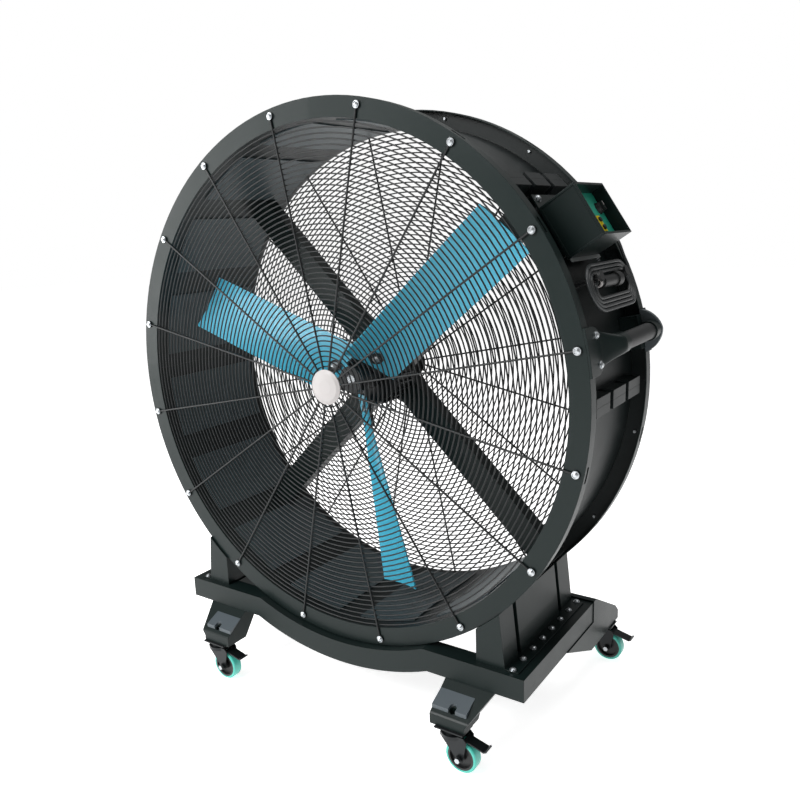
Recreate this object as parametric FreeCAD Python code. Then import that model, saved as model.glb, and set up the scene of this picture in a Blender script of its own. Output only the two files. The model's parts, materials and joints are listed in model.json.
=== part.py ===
"""Mobile drum fan: a flanged drum on a castered base, with a three-blade rotor and wire grilles.

Millimetres. X to the right seen from the front, Y towards the back, Z up from the floor.
The fan axis runs along Y, AXIS_HEIGHT above the floor.
"""
import FreeCAD, Part
import math
import os

V = FreeCAD.Vector

# Drum
RING_OUTER_R = 800.0
RING_WIDTH = 56.0
DRUM_FLOOR_GAP = 222.0
DRUM_DEPTH = 458.0
SHEET = 4.0
RIM_DEPTH = 33.0
RIM_SLOT_LENGTH = 44.0
RIM_SLOT_WIDTH = 11.0
PANEL_COUNT = 8
PANEL_WALL = 6.0
PANEL_FLANGE_GAP = 2.0
SEAM_GAP = 0.5
SEAM_TAB_INSET = 10.0
SEAM_TAB_LENGTH = 95.0
SEAM_TAB_SPACE = 24.0
SEAM_TAB_COUNT = 3
SEAM_TAB_WIDTH = 24.0
SEAM_RIB_INSET = 22.0
SEAM_RIB_T = 3.0
SEAM_RIB_LENGTH = 360.0

# Grilles
GRILLE_BOLT_COUNT = 16
GRILLE_BOLT_INSET = 21.0
GRILLE_RING_PITCH = 30.0
GRILLE_RING_FIRST_R = 70.0
GRILLE_HUB_R = 46.0
WIRE = 4.0
EYELET_R = 11.0
CAP_R = 52.0
CAP_HEIGHT = 11.0
CAP_EDGE = 4.0

# Fasteners
BOLT_R = 4.0
BOLT_HEAD_R = 7.5
BOLT_HEAD_HEIGHT = 5.5
WASHER_R = 10.0
WASHER_HEIGHT = 2.0
HOLE_CLEARANCE = 0.2
BOLT_REACH = 6.0

# Motor support and motor
BEAM_WIDTH = 84.0
BEAM_DEPTH = 50.0
BEAM_WALL = 4.0
BEAM_FRONT_Y = 90.0
SEAT_GAP = 0.3
MOTOR_PLATE_SIZE = 190.0
MOTOR_PLATE_T = 10.0
MOTOR_LENGTH = 78.0
MOTOR_BODY_R = 90.0
MOTOR_FIN_R = 101.0
MOTOR_FIN_T = 5.0
MOTOR_FIN_COUNT = 24
STATOR_OUTER_R = 80.0
STATOR_BORE_R = 45.0
ROTOR_CORE_R = 44.0
STACK_LENGTH = 30.0
BEARING_OUTER_R = 31.0
BEARING_WIDTH = 16.0
SHAFT_R = 15.0
RUNNING_GAP = 0.05
END_COVER = 6.0

# Rotor
BLADE_COUNT = 3
BLADE_FIRST_ANGLE = 41.0
BLADE_PLANE_Y = -80.0
BLADE_ROOT_R = 58.0
BLADE_FLAT_END_R = 150.0
BLADE_TIP_GAP = 78.0
BLADE_CHORD = 182.0
BLADE_THICKNESS = 5.0
BLADE_CAMBER = 9.0
BLADE_ROOT_PITCH = 46.0
BLADE_TIP_PITCH = 22.0
BLADE_STATIONS = 7
ARM_WIDTH = 112.0
ARM_THICKNESS = 8.0
ARM_START_R = 20.0
HUB_R = 42.0
HUB_FRONT_Y = -118.0
HUB_REAR_Y = -12.0
BLADE_BOLT_AT_R = 96.0
BLADE_BOLT_R = 6.0
BLADE_WASHER_R = 22.0
BLADE_WASHER_T = 4.0

# Control box
BOX_ANGLE = 33.0
BOX_SINK = 28.0
BOX_HEIGHT = 108.0
BOX_WIDTH = 150.0
BOX_FRONT_Y = -100.0
BOX_REAR_Y = 95.0
BOX_WALL = 6.0
BOX_FLOOR = 12.0
TRAY_DEPTH = 38.0
PANEL_T = 3.0
PANEL_FIT = 0.5
BRACKET_T = 4.0
BRACKET_EAR = 40.0
BRACKET_LEG = 24.0
BRACKET_LEG_INSET = 16.0
KNOB_AT = (68.0, 20.0)
KNOB_R = 17.0
KNOB_HEIGHT = 18.0
KNOB_SHAFT_R = 5.0
KNOB_SHAFT_LENGTH = 7.0
SHAFT_CLEARANCE = 1.0
BUTTON_Y = 26.0
BUTTON_PLACES = (("start_button", -14.0), ("stop_button", -36.0))
BUTTON_R = 7.0
BUTTON_PROUD = 7.0
BUTTON_INSIDE = 6.5
BUTTON_TRAVEL = 2.0
MOVING_GAP = 0.3
KEY_PLATE_T = 2.0
KEY_PLATE_MARGIN = 5.0

# Mains cord: an oval coil on two pegs, with its plug in the middle
CORD_R = 4.5
COIL_ANGLE = 21.0
COIL_STANDOFF = 15.0
COIL_HALF_RUN = 95.0
COIL_FIRST_R = 64.0
COIL_PITCH = 10.5
COIL_TURNS = 3
COIL_LAST_R = 20.0
LEAD_BEND_R = 37.0
LEAD_HEIGHT = 126.0
GLAND_R = 12.0
GLAND_LENGTH = 18.0
GLAND_LIP = 2.0
PLUG_R = 19.0
PLUG_BODY_LENGTH = 124.0
PLUG_NUT_R = 11.0
PLUG_NUT_LENGTH = 16.0
PLUG_COLLAR_LENGTH = 30.0
PLUG_WAIST_R = 15.0
PLUG_PIN_LENGTH = 19.0
PLUG_PIN_R = 2.5
PLUG_PIN_CIRCLE_R = 8.0
PEG_R = 7.0
PEG_HEAD_R = 14.0
PEG_HEAD_T = 6.0
PEG_HEAD_GAP = 1.0
PEG_INSET = 1.0
PEG_FOOT_R = 18.0
PEG_FOOT_T = 5.0

# Handle
HANDLE_ANGLE = 10.5
HANDLE_PLATE_T = 6.0
HANDLE_PLATE_HALF = 60.0
HANDLE_GRIP_R = 23.0
HANDLE_GRIP_WALL = 3.0
HANDLE_GRIP_RISE = 26.0
HANDLE_SOCKET_R = 27.0
HANDLE_FRONT_LENGTH = 169.0
HANDLE_REAR_LENGTH = 79.0
HANDLE_SOCKET_LENGTH = 36.0
HANDLE_BOLT_HALF = 36.0
HANDLE_FRONT_BOLT_INSET = 60.0
HANDLE_REAR_BOLT_INSET = 24.0
HANDLE_FOOT_HALF_WIDTH = 46.0
HANDLE_FOOT = 40.0

# Base
BASE_SIDE_INSET = 163.0
BASE_DEPTH_MARGIN = 26.0
BASE_TOP_Z = 284.0
BAR_HEIGHT = 67.0
BAR_DEPTH = 60.0
SADDLE_GAP = 3.0
RAIL_WIDTH = 160.0
PEDESTAL_WIDTH = 89.0
PEDESTAL_INSET = 65.0
PEDESTAL_LEAN = 20.0
PEDESTAL_DEPTH_MARGIN = 7.0
PEDESTAL_HORN = 27.0
PEDESTAL_GROOVE_Y = 144.0
PEDESTAL_GROOVE = 20.0
PEDESTAL_GROOVE_DEPTH = 26.0
PEDESTAL_FLANGE = 40.0
BASE_BOLT_COUNT = 8
BASE_BOLT_MARGIN = 8.0

# Caster boots
BOOT_BOTTOM_Z = 126.0
FRONT_CASTER_INSET = 181.0
FRONT_CASTER_REACH = 67.0
REAR_CASTER_INSET = 37.0
REAR_CASTER_REACH = 180.0
FRONT_BOOT_INSIDE = 63.0
FRONT_BOOT_OUTSIDE = 94.0
FRONT_BOOT_FOOT = 46.0
FRONT_BOOT_NOSE = 22.0
FRONT_BOOT_HEEL = 60.0
BOOT_LIP = 30.0
BOOT_NOTCH_R = 9.0
REAR_BOOT_INSIDE = 50.0
REAR_BOOT_OUTSIDE = 40.0
REAR_BOOT_LAP = 215.0
REAR_BOOT_RISE = 6.0
REAR_BOOT_SHOULDER = 20.0
REAR_BOOT_NOSE = 55.0
REAR_BOOT_BROW = 28.0
REAR_BOOT_HEEL = 15.0

# Casters
WHEEL_R = 48.0
TREAD_T = 8.0
TREAD_CROWN = 3.0
WHEEL_WIDTH = 32.0
WHEEL_WEB = 14.0
WHEEL_HUB_R = 14.0
WHEEL_HUB_WIDTH = 36.0
WHEEL_RIM = 6.0
CASTER_TRAIL = 30.0
CASTER_PLATE_T = 4.0
CASTER_PLATE_X = 90.0
CASTER_PLATE_Y = 60.0
RACE_R = 28.0
RACE_HEIGHT = 8.0
CROWN_R = 36.0
CROWN_HEIGHT = 10.0
KINGPIN_R = 6.0
KINGPIN_HEAD_R = 11.0
KINGPIN_HEAD_HEIGHT = 8.0
FORK_GAP = 40.0
FORK_SHEET = 4.0
AXLE_R = 6.0
AXLE_HEAD_R = 10.0
AXLE_HEAD_HEIGHT = 7.0
PEDAL_PIVOT = (42.0, 102.0)
PEDAL_PIN_R = 3.0
PEDAL_HALF_WIDTH = 17.0
PEDAL_T = 4.0
PEDAL_REACH = 66.0
PEDAL_DROP = 13.0
PEDAL_KICK = 7.0

# Worked out from the values above
FRONT_Y = -DRUM_DEPTH / 2
REAR_Y = DRUM_DEPTH / 2
AXIS_HEIGHT = RING_OUTER_R + DRUM_FLOOR_GAP
RING_INNER_R = RING_OUTER_R - RING_WIDTH
SEAM_TAB_TOP_R = RING_OUTER_R - SEAM_TAB_INSET
SEAM_RIB_TOP_R = RING_OUTER_R - SEAM_RIB_INSET
GRILLE_BOLT_R = RING_OUTER_R - GRILLE_BOLT_INSET
BLADE_TIP_R = RING_INNER_R - BLADE_TIP_GAP
BOX_BASE_R = RING_OUTER_R - BOX_SINK
BOX_TOP_R = BOX_BASE_R + BOX_HEIGHT
COIL_PLANE_R = RING_OUTER_R + COIL_STANDOFF
HANDLE_GRIP_PLANE_R = RING_OUTER_R + HANDLE_GRIP_RISE
WALL_OUTER_R = RING_INNER_R + PANEL_WALL
BASE_LOW_Z = BASE_TOP_Z - BAR_HEIGHT
BASE_HALF_WIDTH = RING_OUTER_R - BASE_SIDE_INSET
BASE_HALF_DEPTH = REAR_Y + BASE_DEPTH_MARGIN
PEDESTAL_HALF_DEPTH = REAR_Y + PEDESTAL_DEPTH_MARGIN
PEDESTAL_FOOT_X = BASE_HALF_WIDTH - PEDESTAL_INSET
PEDESTAL_INNER_X = PEDESTAL_FOOT_X - PEDESTAL_WIDTH
PEDESTAL_TOP_X = PEDESTAL_FOOT_X - PEDESTAL_LEAN
PEDESTAL_TOP_Z = AXIS_HEIGHT - math.sqrt(RING_OUTER_R ** 2 - PEDESTAL_TOP_X ** 2) + PEDESTAL_HORN
PEDESTAL_FOOT_EDGE_X = PEDESTAL_FOOT_X + PEDESTAL_FLANGE
BASE_BOLT_X = PEDESTAL_FOOT_X + PEDESTAL_FLANGE / 2
BASE_BOLT_SPAN = 2 * (PEDESTAL_HALF_DEPTH - BASE_BOLT_MARGIN)
FRONT_CASTER = (BASE_HALF_WIDTH - FRONT_CASTER_INSET, -BASE_HALF_DEPTH - FRONT_CASTER_REACH)
REAR_CASTER = (BASE_HALF_WIDTH - REAR_CASTER_INSET, BASE_HALF_DEPTH + REAR_CASTER_REACH)
FRONT_BOOT_INNER_X = FRONT_CASTER[0] - FRONT_BOOT_INSIDE
FRONT_BOOT_OUTER_X = FRONT_CASTER[0] + FRONT_BOOT_OUTSIDE
FRONT_BOOT_FOOT_X = FRONT_CASTER[0] + FRONT_BOOT_FOOT
REAR_BOOT_INNER_X = REAR_CASTER[0] - REAR_BOOT_INSIDE
REAR_BOOT_OUTER_X = REAR_CASTER[0] + REAR_BOOT_OUTSIDE
REAR_BOOT_START_Y = BASE_HALF_DEPTH - REAR_BOOT_LAP
REAR_BOOT_TOP_Z = BASE_TOP_Z + REAR_BOOT_RISE
REAR_BOOT_HEEL_Y = BASE_HALF_DEPTH - REAR_BOOT_HEEL
BOLT_STEP = 360.0 / GRILLE_BOLT_COUNT
BOLT_ANGLES = [BOLT_STEP * (k + 0.5) for k in range(GRILLE_BOLT_COUNT)]
MOTOR_REAR_Y = BEAM_FRONT_Y - MOTOR_PLATE_T
MOTOR_FRONT_Y = MOTOR_REAR_Y - MOTOR_LENGTH
MOTOR_MID_Y = (MOTOR_REAR_Y + MOTOR_FRONT_Y) / 2
TRAY_FLOOR_R = BOX_TOP_R - TRAY_DEPTH
CORD_D = 2 * CORD_R


def block(x0, x1, y0, y1, z0, z1):
    """A box between two corners."""
    return Part.makeBox(x1 - x0, y1 - y0, z1 - z0, V(x0, y0, z0))


def axis_cylinder(radius, y0, y1):
    """A cylinder about the fan axis."""
    return Part.makeCylinder(radius, y1 - y0, V(0, y0, AXIS_HEIGHT), V(0, 1, 0))


def turned(shape, angle):
    """A copy turned about the fan axis, counter-clockwise seen from the front."""
    copy = shape.copy()
    copy.rotate(V(0, 0, AXIS_HEIGHT), V(0, -1, 0), angle)
    return copy


def mirrored(shape):
    """The left-hand twin of a right-hand piece."""
    return shape.mirror(V(0, 0, 0), V(1, 0, 0))


def reversed_drum(shape):
    """The rear twin of a front piece."""
    return shape.mirror(V(0, 0, 0), V(0, 1, 0))


def polygon_face(points):
    """A flat face with straight sides."""
    return Part.Face(Part.makePolygon(points + points[:1]))


def revolved(section):
    """A full turn about the fan axis of a section given as (radius, y) points."""
    face = polygon_face([V(radius, y, AXIS_HEIGHT) for radius, y in section])
    return face.revolve(V(0, 0, AXIS_HEIGHT), V(0, -1, 0), 360)


def turned_section(section, centre, axis, side):
    """A full turn about an axis of a section given as (radius, distance along the axis) points."""
    face = polygon_face([centre + side * radius + axis * along for radius, along in section])
    return face.revolve(centre, axis, 360)


def bolt(foot, axis, head_r, head_height, washer_r, washer_height, shank_r, reach):
    """A round-headed bolt with its washer: foot is where the washer sits, axis points outwards."""
    side = V(0, 0, 1) if abs(axis.z) < 0.9 else V(1, 0, 0)
    side = side - axis * side.dot(axis)
    side.normalize()
    section = [(0, -reach), (shank_r, -reach), (shank_r, 0), (washer_r, 0), (washer_r, washer_height),
               (head_r, washer_height), (head_r, washer_height + head_height / 2),
               (head_r / 2, washer_height + head_height), (0, washer_height + head_height)]
    return turned_section(section, foot, axis, side)


def front_ring():
    """The front flange: a flat ring with a turned-back rim, slotted at each bolt."""
    lip_r = RING_OUTER_R - SHEET
    ring = revolved([(RING_INNER_R, FRONT_Y), (RING_OUTER_R, FRONT_Y), (RING_OUTER_R, FRONT_Y + RIM_DEPTH),
                     (lip_r, FRONT_Y + RIM_DEPTH), (lip_r, FRONT_Y + SHEET), (RING_INNER_R, FRONT_Y + SHEET)])
    slot_y = FRONT_Y + (RIM_DEPTH - RIM_SLOT_WIDTH) / 2
    half = RIM_SLOT_LENGTH / 2
    slot = block(lip_r - SHEET, RING_OUTER_R + SHEET, slot_y, slot_y + RIM_SLOT_WIDTH,
                 AXIS_HEIGHT - half, AXIS_HEIGHT + half)
    hole = Part.makeCylinder(BOLT_R + HOLE_CLEARANCE, 3 * SHEET,
                             V(GRILLE_BOLT_R, FRONT_Y - SHEET, AXIS_HEIGHT), V(0, 1, 0))
    cuts = []
    for angle in BOLT_ANGLES:
        cuts.append(turned(slot, angle))
        cuts.append(turned(hole, angle))
    return ring.cut(cuts)


def drum_panel():
    """One moulded panel of the drum: a curved wall with castle tabs along both seams."""
    half = REAR_Y - SHEET
    face = polygon_face([V(RING_INNER_R, -half, AXIS_HEIGHT), V(WALL_OUTER_R, -half, AXIS_HEIGHT),
                         V(WALL_OUTER_R, half, AXIS_HEIGHT), V(RING_INNER_R, half, AXIS_HEIGHT)])
    span = 360.0 / PANEL_COUNT
    gap_angle = math.degrees(SEAM_GAP / RING_INNER_R)
    panel = face.revolve(V(0, 0, AXIS_HEIGHT), V(0, -1, 0), span - gap_angle)
    pitch = SEAM_TAB_LENGTH + SEAM_TAB_SPACE
    tabs = []
    for k in range(SEAM_TAB_COUNT):
        middle = (k - (SEAM_TAB_COUNT - 1) / 2) * pitch
        y0 = middle - SEAM_TAB_LENGTH / 2
        root_r = RING_INNER_R + PANEL_WALL / 2
        y1 = y0 + SEAM_TAB_LENGTH
        low = block(root_r, SEAM_TAB_TOP_R, y0, y1, AXIS_HEIGHT, AXIS_HEIGHT + SEAM_TAB_WIDTH)
        high = block(root_r, SEAM_TAB_TOP_R, y0, y1, AXIS_HEIGHT - SEAM_TAB_WIDTH, AXIS_HEIGHT)
        tabs.append(low)
        tabs.append(turned(high, span - gap_angle))
    rib_y = SEAM_RIB_LENGTH / 2
    low_rib = block(RING_INNER_R + PANEL_WALL / 2, SEAM_RIB_TOP_R, -rib_y, rib_y,
                    AXIS_HEIGHT, AXIS_HEIGHT + SEAM_RIB_T)
    high_rib = block(RING_INNER_R + PANEL_WALL / 2, SEAM_RIB_TOP_R, -rib_y, rib_y,
                     AXIS_HEIGHT - SEAM_RIB_T, AXIS_HEIGHT)
    tabs.append(low_rib)
    tabs.append(turned(high_rib, span - gap_angle))
    return turned(panel.fuse(tabs).removeSplitter(), gap_angle / 2)


def end_strip():
    """One bolting strip round the front end of a panel, behind the flange ring."""
    front = FRONT_Y + SHEET
    inner_r = WALL_OUTER_R + SEAT_GAP
    outer_r = RING_OUTER_R - SHEET - PANEL_FLANGE_GAP
    face = polygon_face([V(inner_r, front, AXIS_HEIGHT), V(outer_r, front, AXIS_HEIGHT),
                         V(outer_r, front + SHEET, AXIS_HEIGHT), V(inner_r, front + SHEET, AXIS_HEIGHT)])
    span = 360.0 / PANEL_COUNT
    gap_angle = math.degrees(SEAM_GAP / RING_INNER_R)
    strip = face.revolve(V(0, 0, AXIS_HEIGHT), V(0, -1, 0), span - gap_angle)
    hole_start = V(GRILLE_BOLT_R, FRONT_Y, AXIS_HEIGHT)
    hole = Part.makeCylinder(BOLT_R + HOLE_CLEARANCE, DRUM_DEPTH, hole_start, V(0, 1, 0))
    cuts = [turned(hole, angle - gap_angle / 2) for angle in BOLT_ANGLES if angle < span]
    return turned(strip.cut(cuts), gap_angle / 2)


def drum_panels():
    """All the panels of the drum, side by side, with the bolting strips round both ends."""
    span = 360.0 / PANEL_COUNT
    front_strip = end_strip()
    pieces = []
    for piece in (drum_panel(), front_strip, reversed_drum(front_strip)):
        pieces += [turned(piece, k * span) for k in range(PANEL_COUNT)]
    return Part.makeCompound(pieces)


def grille_rings():
    """The radii of the grille's wire rings."""
    count = int((RING_INNER_R - GRILLE_RING_FIRST_R) / GRILLE_RING_PITCH) + 1
    return [GRILLE_RING_FIRST_R + k * GRILLE_RING_PITCH for k in range(count)]


def grille_gap(inner_r, outer_r, y):
    """The outline of one opening between two rings and two spokes."""
    half = WIRE / 2
    inner_half = math.asin(half / inner_r)
    outer_half = math.asin(half / outer_r)
    step = math.radians(BOLT_STEP)

    def point(radius, angle):
        return V(radius * math.cos(angle), y, AXIS_HEIGHT + radius * math.sin(angle))

    a = point(inner_r, inner_half)
    b = point(outer_r, outer_half)
    c = point(outer_r, step - outer_half)
    d = point(inner_r, step - inner_half)
    edges = [Part.LineSegment(a, b), Part.Arc(b, point(outer_r, step / 2), c),
             Part.LineSegment(c, d), Part.Arc(d, point(inner_r, step / 2), a)]
    return Part.Wire([edge.toShape() for edge in edges])


def front_grille():
    """A flat guard of concentric rings on spokes, whose ends reach the ring's bolts as eyelets."""
    y = FRONT_Y - WIRE
    radii = grille_rings()
    outer_r = radii[-1] + WIRE / 2
    outline = Part.Wire(Part.makeCircle(outer_r, V(0, y, AXIS_HEIGHT), V(0, 1, 0)))
    inner_edges = [GRILLE_HUB_R] + [radius + WIRE / 2 for radius in radii[:-1]]
    outer_edges = [radius - WIRE / 2 for radius in radii]
    gaps = []
    for inner_r, outer_edge in zip(inner_edges, outer_edges):
        gap = grille_gap(inner_r, outer_edge, y)
        for angle in BOLT_ANGLES:
            gaps.append(turned(gap, angle))
    guard = Part.Face([outline] + gaps, "Part::FaceMakerBullseye").extrude(V(0, WIRE, 0))
    ends = []
    stub = block(radii[-1], GRILLE_BOLT_R, y, FRONT_Y, AXIS_HEIGHT - WIRE / 2, AXIS_HEIGHT + WIRE / 2)
    eyelet = Part.makeCylinder(EYELET_R, WIRE, V(GRILLE_BOLT_R, y, AXIS_HEIGHT), V(0, 1, 0))
    hole = Part.makeCylinder(BOLT_R + HOLE_CLEARANCE, WIRE, V(GRILLE_BOLT_R, y, AXIS_HEIGHT), V(0, 1, 0))
    end = stub.fuse(eyelet).cut(hole)
    for angle in BOLT_ANGLES:
        ends.append(turned(end, angle))
    return guard.fuse(ends)


def grille_cap():
    """The plain round cap over the middle of the front grille."""
    seat = FRONT_Y - WIRE
    return revolved([(0, seat), (CAP_R, seat), (CAP_R, seat - CAP_EDGE), (CAP_R * 0.8, seat - CAP_HEIGHT * 0.8),
                     (CAP_R * 0.4, seat - CAP_HEIGHT), (0, seat - CAP_HEIGHT)])


def grille_bolts():
    """The bolts that hold both grilles and both flange rings on the panels."""
    foot = V(GRILLE_BOLT_R, FRONT_Y - WIRE, AXIS_HEIGHT)
    reach = WIRE + 2 * SHEET + BOLT_REACH
    front = bolt(foot, V(0, -1, 0), BOLT_HEAD_R, BOLT_HEAD_HEIGHT, WASHER_R, WASHER_HEIGHT, BOLT_R, reach)
    rear = reversed_drum(front)
    return Part.makeCompound([turned(piece, angle) for angle in BOLT_ANGLES for piece in (front, rear)])


def support_beam(r0, r1):
    """A length of rectangular tube along +X, from one radius to another."""
    half = BEAM_WIDTH / 2
    outer = block(r0, r1, BEAM_FRONT_Y, BEAM_FRONT_Y + BEAM_DEPTH, AXIS_HEIGHT - half, AXIS_HEIGHT + half)
    inner = block(r0, r1, BEAM_FRONT_Y + BEAM_WALL, BEAM_FRONT_Y + BEAM_DEPTH - BEAM_WALL,
                  AXIS_HEIGHT - half + BEAM_WALL, AXIS_HEIGHT + half - BEAM_WALL)
    return outer.cut(inner)


def support_cross():
    """The cross of tubes behind the rotor: one long tube, and two half tubes against its sides."""
    half = BEAM_WIDTH / 2
    end_r = math.sqrt((RING_INNER_R - SEAT_GAP) ** 2 - half ** 2)
    long_tube = turned(support_beam(-end_r, end_r), -45)
    half_tube = support_beam(half, end_r)
    return Part.makeCompound([long_tube, turned(half_tube, 45), turned(half_tube, 225)])


def motor_plate():
    """The square plate between the cross and the motor."""
    half = MOTOR_PLATE_SIZE / 2
    plate = block(-half, half, MOTOR_REAR_Y, BEAM_FRONT_Y, AXIS_HEIGHT - half, AXIS_HEIGHT + half)
    corners = [edge for edge in plate.Edges if abs(edge.tangentAt(edge.FirstParameter).y) > 0.9]
    return plate.makeFillet(half / 8, corners)


def motor_housing():
    """The finned motor body, hollow for its stator and bored for its bearings."""
    body = axis_cylinder(MOTOR_BODY_R, MOTOR_FRONT_Y, MOTOR_REAR_Y)
    fin = block(MOTOR_BODY_R - MOTOR_FIN_T, MOTOR_FIN_R, MOTOR_FRONT_Y + END_COVER, MOTOR_REAR_Y,
                AXIS_HEIGHT - MOTOR_FIN_T / 2, AXIS_HEIGHT + MOTOR_FIN_T / 2)
    body = body.fuse([turned(fin, k * 360.0 / MOTOR_FIN_COUNT) for k in range(MOTOR_FIN_COUNT)])
    bore = axis_cylinder(BEARING_OUTER_R + RUNNING_GAP, MOTOR_FRONT_Y, MOTOR_REAR_Y - END_COVER)
    cavity = axis_cylinder(STATOR_OUTER_R + HOLE_CLEARANCE, MOTOR_FRONT_Y + BEARING_WIDTH + END_COVER,
                           MOTOR_REAR_Y - BEARING_WIDTH - END_COVER)
    return body.cut([bore, cavity])


def motor_stator():
    """The motor's wound ring, simplified to its outline."""
    y0 = MOTOR_MID_Y - STACK_LENGTH / 2
    ring = axis_cylinder(STATOR_OUTER_R, y0, y0 + STACK_LENGTH)
    return ring.cut(axis_cylinder(STATOR_BORE_R, y0, y0 + STACK_LENGTH))


def motor_bearings():
    """The two ball bearings, each as one ring."""
    rings = []
    for y0 in (MOTOR_FRONT_Y + SEAT_GAP, MOTOR_REAR_Y - END_COVER - BEARING_WIDTH - SEAT_GAP):
        ring = axis_cylinder(BEARING_OUTER_R, y0, y0 + BEARING_WIDTH)
        rings.append(ring.cut(axis_cylinder(SHAFT_R + RUNNING_GAP, y0, y0 + BEARING_WIDTH)))
    return Part.makeCompound(rings)


def motor_shaft():
    """The shaft with the rotor core on it, out to the front of the hub."""
    core0 = MOTOR_MID_Y - STACK_LENGTH / 2
    core1 = MOTOR_MID_Y + STACK_LENGTH / 2
    end = MOTOR_REAR_Y - END_COVER - 2 * SEAT_GAP
    return revolved([(0, HUB_FRONT_Y), (SHAFT_R, HUB_FRONT_Y), (SHAFT_R, core0), (ROTOR_CORE_R, core0),
                     (ROTOR_CORE_R, core1), (SHAFT_R, core1), (SHAFT_R, end), (0, end)])


def blade_frame(pitch):
    """The chord direction and the front normal of a blade that points along +X."""
    angle = math.radians(pitch)
    chord = V(0, -math.sin(angle), math.cos(angle))
    normal = V(0, -math.cos(angle), -math.sin(angle))
    return chord, normal


def blade_section(radius, pitch, width, front, back):
    """A curved strip across the blade: width along the chord, between two depths off its mid surface."""
    chord, normal = blade_frame(pitch)
    centre = V(radius, BLADE_PLANE_Y, AXIS_HEIGHT)

    def point(share, depth):
        along = share * width / 2
        bulge = BLADE_CAMBER * (1 - (2 * along / BLADE_CHORD) ** 2)
        return centre + chord * along + normal * (depth - bulge)

    front_arc = Part.Arc(point(-1, front), point(0, front), point(1, front))
    back_arc = Part.Arc(point(1, back), point(0, back), point(-1, back))
    edges = [front_arc, Part.LineSegment(point(1, front), point(1, back)),
             back_arc, Part.LineSegment(point(-1, back), point(-1, front))]
    return Part.Wire([edge.toShape() for edge in edges])


def blade_pitch(radius):
    """The pitch along the blade: steady at the root, then easing towards the tip."""
    share = max(0.0, (radius - BLADE_FLAT_END_R) / (BLADE_TIP_R - BLADE_FLAT_END_R))
    return BLADE_ROOT_PITCH + share * (BLADE_TIP_PITCH - BLADE_ROOT_PITCH)


def blade_bolt_hole():
    """A cylinder square to the blade's root, where its bolt goes."""
    chord, normal = blade_frame(BLADE_ROOT_PITCH)
    depth = BLADE_CAMBER + BLADE_THICKNESS + ARM_THICKNESS
    start = V(BLADE_BOLT_AT_R, BLADE_PLANE_Y, AXIS_HEIGHT) - normal * 2 * depth
    return Part.makeCylinder(BLADE_BOLT_R + HOLE_CLEARANCE, 4 * depth, start, normal)


def blade():
    """A twisted, cambered blade along +X, with a square tip."""
    half = BLADE_THICKNESS / 2
    step = (BLADE_TIP_R - BLADE_FLAT_END_R) / (BLADE_STATIONS - 1)
    radii = [BLADE_ROOT_R] + [BLADE_FLAT_END_R + k * step for k in range(BLADE_STATIONS)]
    sections = [blade_section(radius, blade_pitch(radius), BLADE_CHORD, half, -half) for radius in radii]
    return Part.makeLoft(sections, True, True).cut(blade_bolt_hole())


def rotor_hub():
    """The hub boss with one pitched arm behind each blade root."""
    boss = axis_cylinder(HUB_R, HUB_FRONT_Y, HUB_REAR_Y)
    front = -BLADE_THICKNESS / 2 - HOLE_CLEARANCE
    back = front - ARM_THICKNESS
    ends = [blade_section(radius, BLADE_ROOT_PITCH, ARM_WIDTH, front, back)
            for radius in (ARM_START_R, BLADE_FLAT_END_R)]
    arm = Part.makeLoft(ends, True, True).cut(blade_bolt_hole())
    step = 360.0 / BLADE_COUNT
    arms = [turned(arm, BLADE_FIRST_ANGLE + k * step) for k in range(BLADE_COUNT)]
    bore = axis_cylinder(SHAFT_R + RUNNING_GAP, HUB_FRONT_Y - HUB_R, MOTOR_FRONT_Y)
    return boss.fuse(arms).cut(bore)


def blade_bolts():
    """One large bolt with a broad washer at each blade root."""
    chord, normal = blade_frame(BLADE_ROOT_PITCH)
    washer_share = 2 * BLADE_WASHER_R / BLADE_CHORD
    lift = BLADE_THICKNESS / 2 - BLADE_CAMBER * (1 - washer_share ** 2) + HOLE_CLEARANCE
    foot = V(BLADE_BOLT_AT_R, BLADE_PLANE_Y, AXIS_HEIGHT) + normal * lift
    reach = BLADE_THICKNESS + BLADE_CAMBER + ARM_THICKNESS + BLADE_BOLT_R
    piece = bolt(foot, normal, 2 * BLADE_BOLT_R, 1.5 * BLADE_BOLT_R, BLADE_WASHER_R, BLADE_WASHER_T,
                 BLADE_BOLT_R, reach)
    step = 360.0 / BLADE_COUNT
    return Part.makeCompound([turned(piece, BLADE_FIRST_ANGLE + k * step) for k in range(BLADE_COUNT)])


def at_box(radius, y, across):
    """A point on the unturned control box: radius outwards, y, and distance up along the rim."""
    return V(radius, y, AXIS_HEIGHT + across)


def radial_cylinder(radius, r0, r1, y, across):
    """A cylinder that points outwards from the unturned drum's side."""
    return Part.makeCylinder(radius, r1 - r0, at_box(r0, y, across), V(1, 0, 0))


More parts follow.
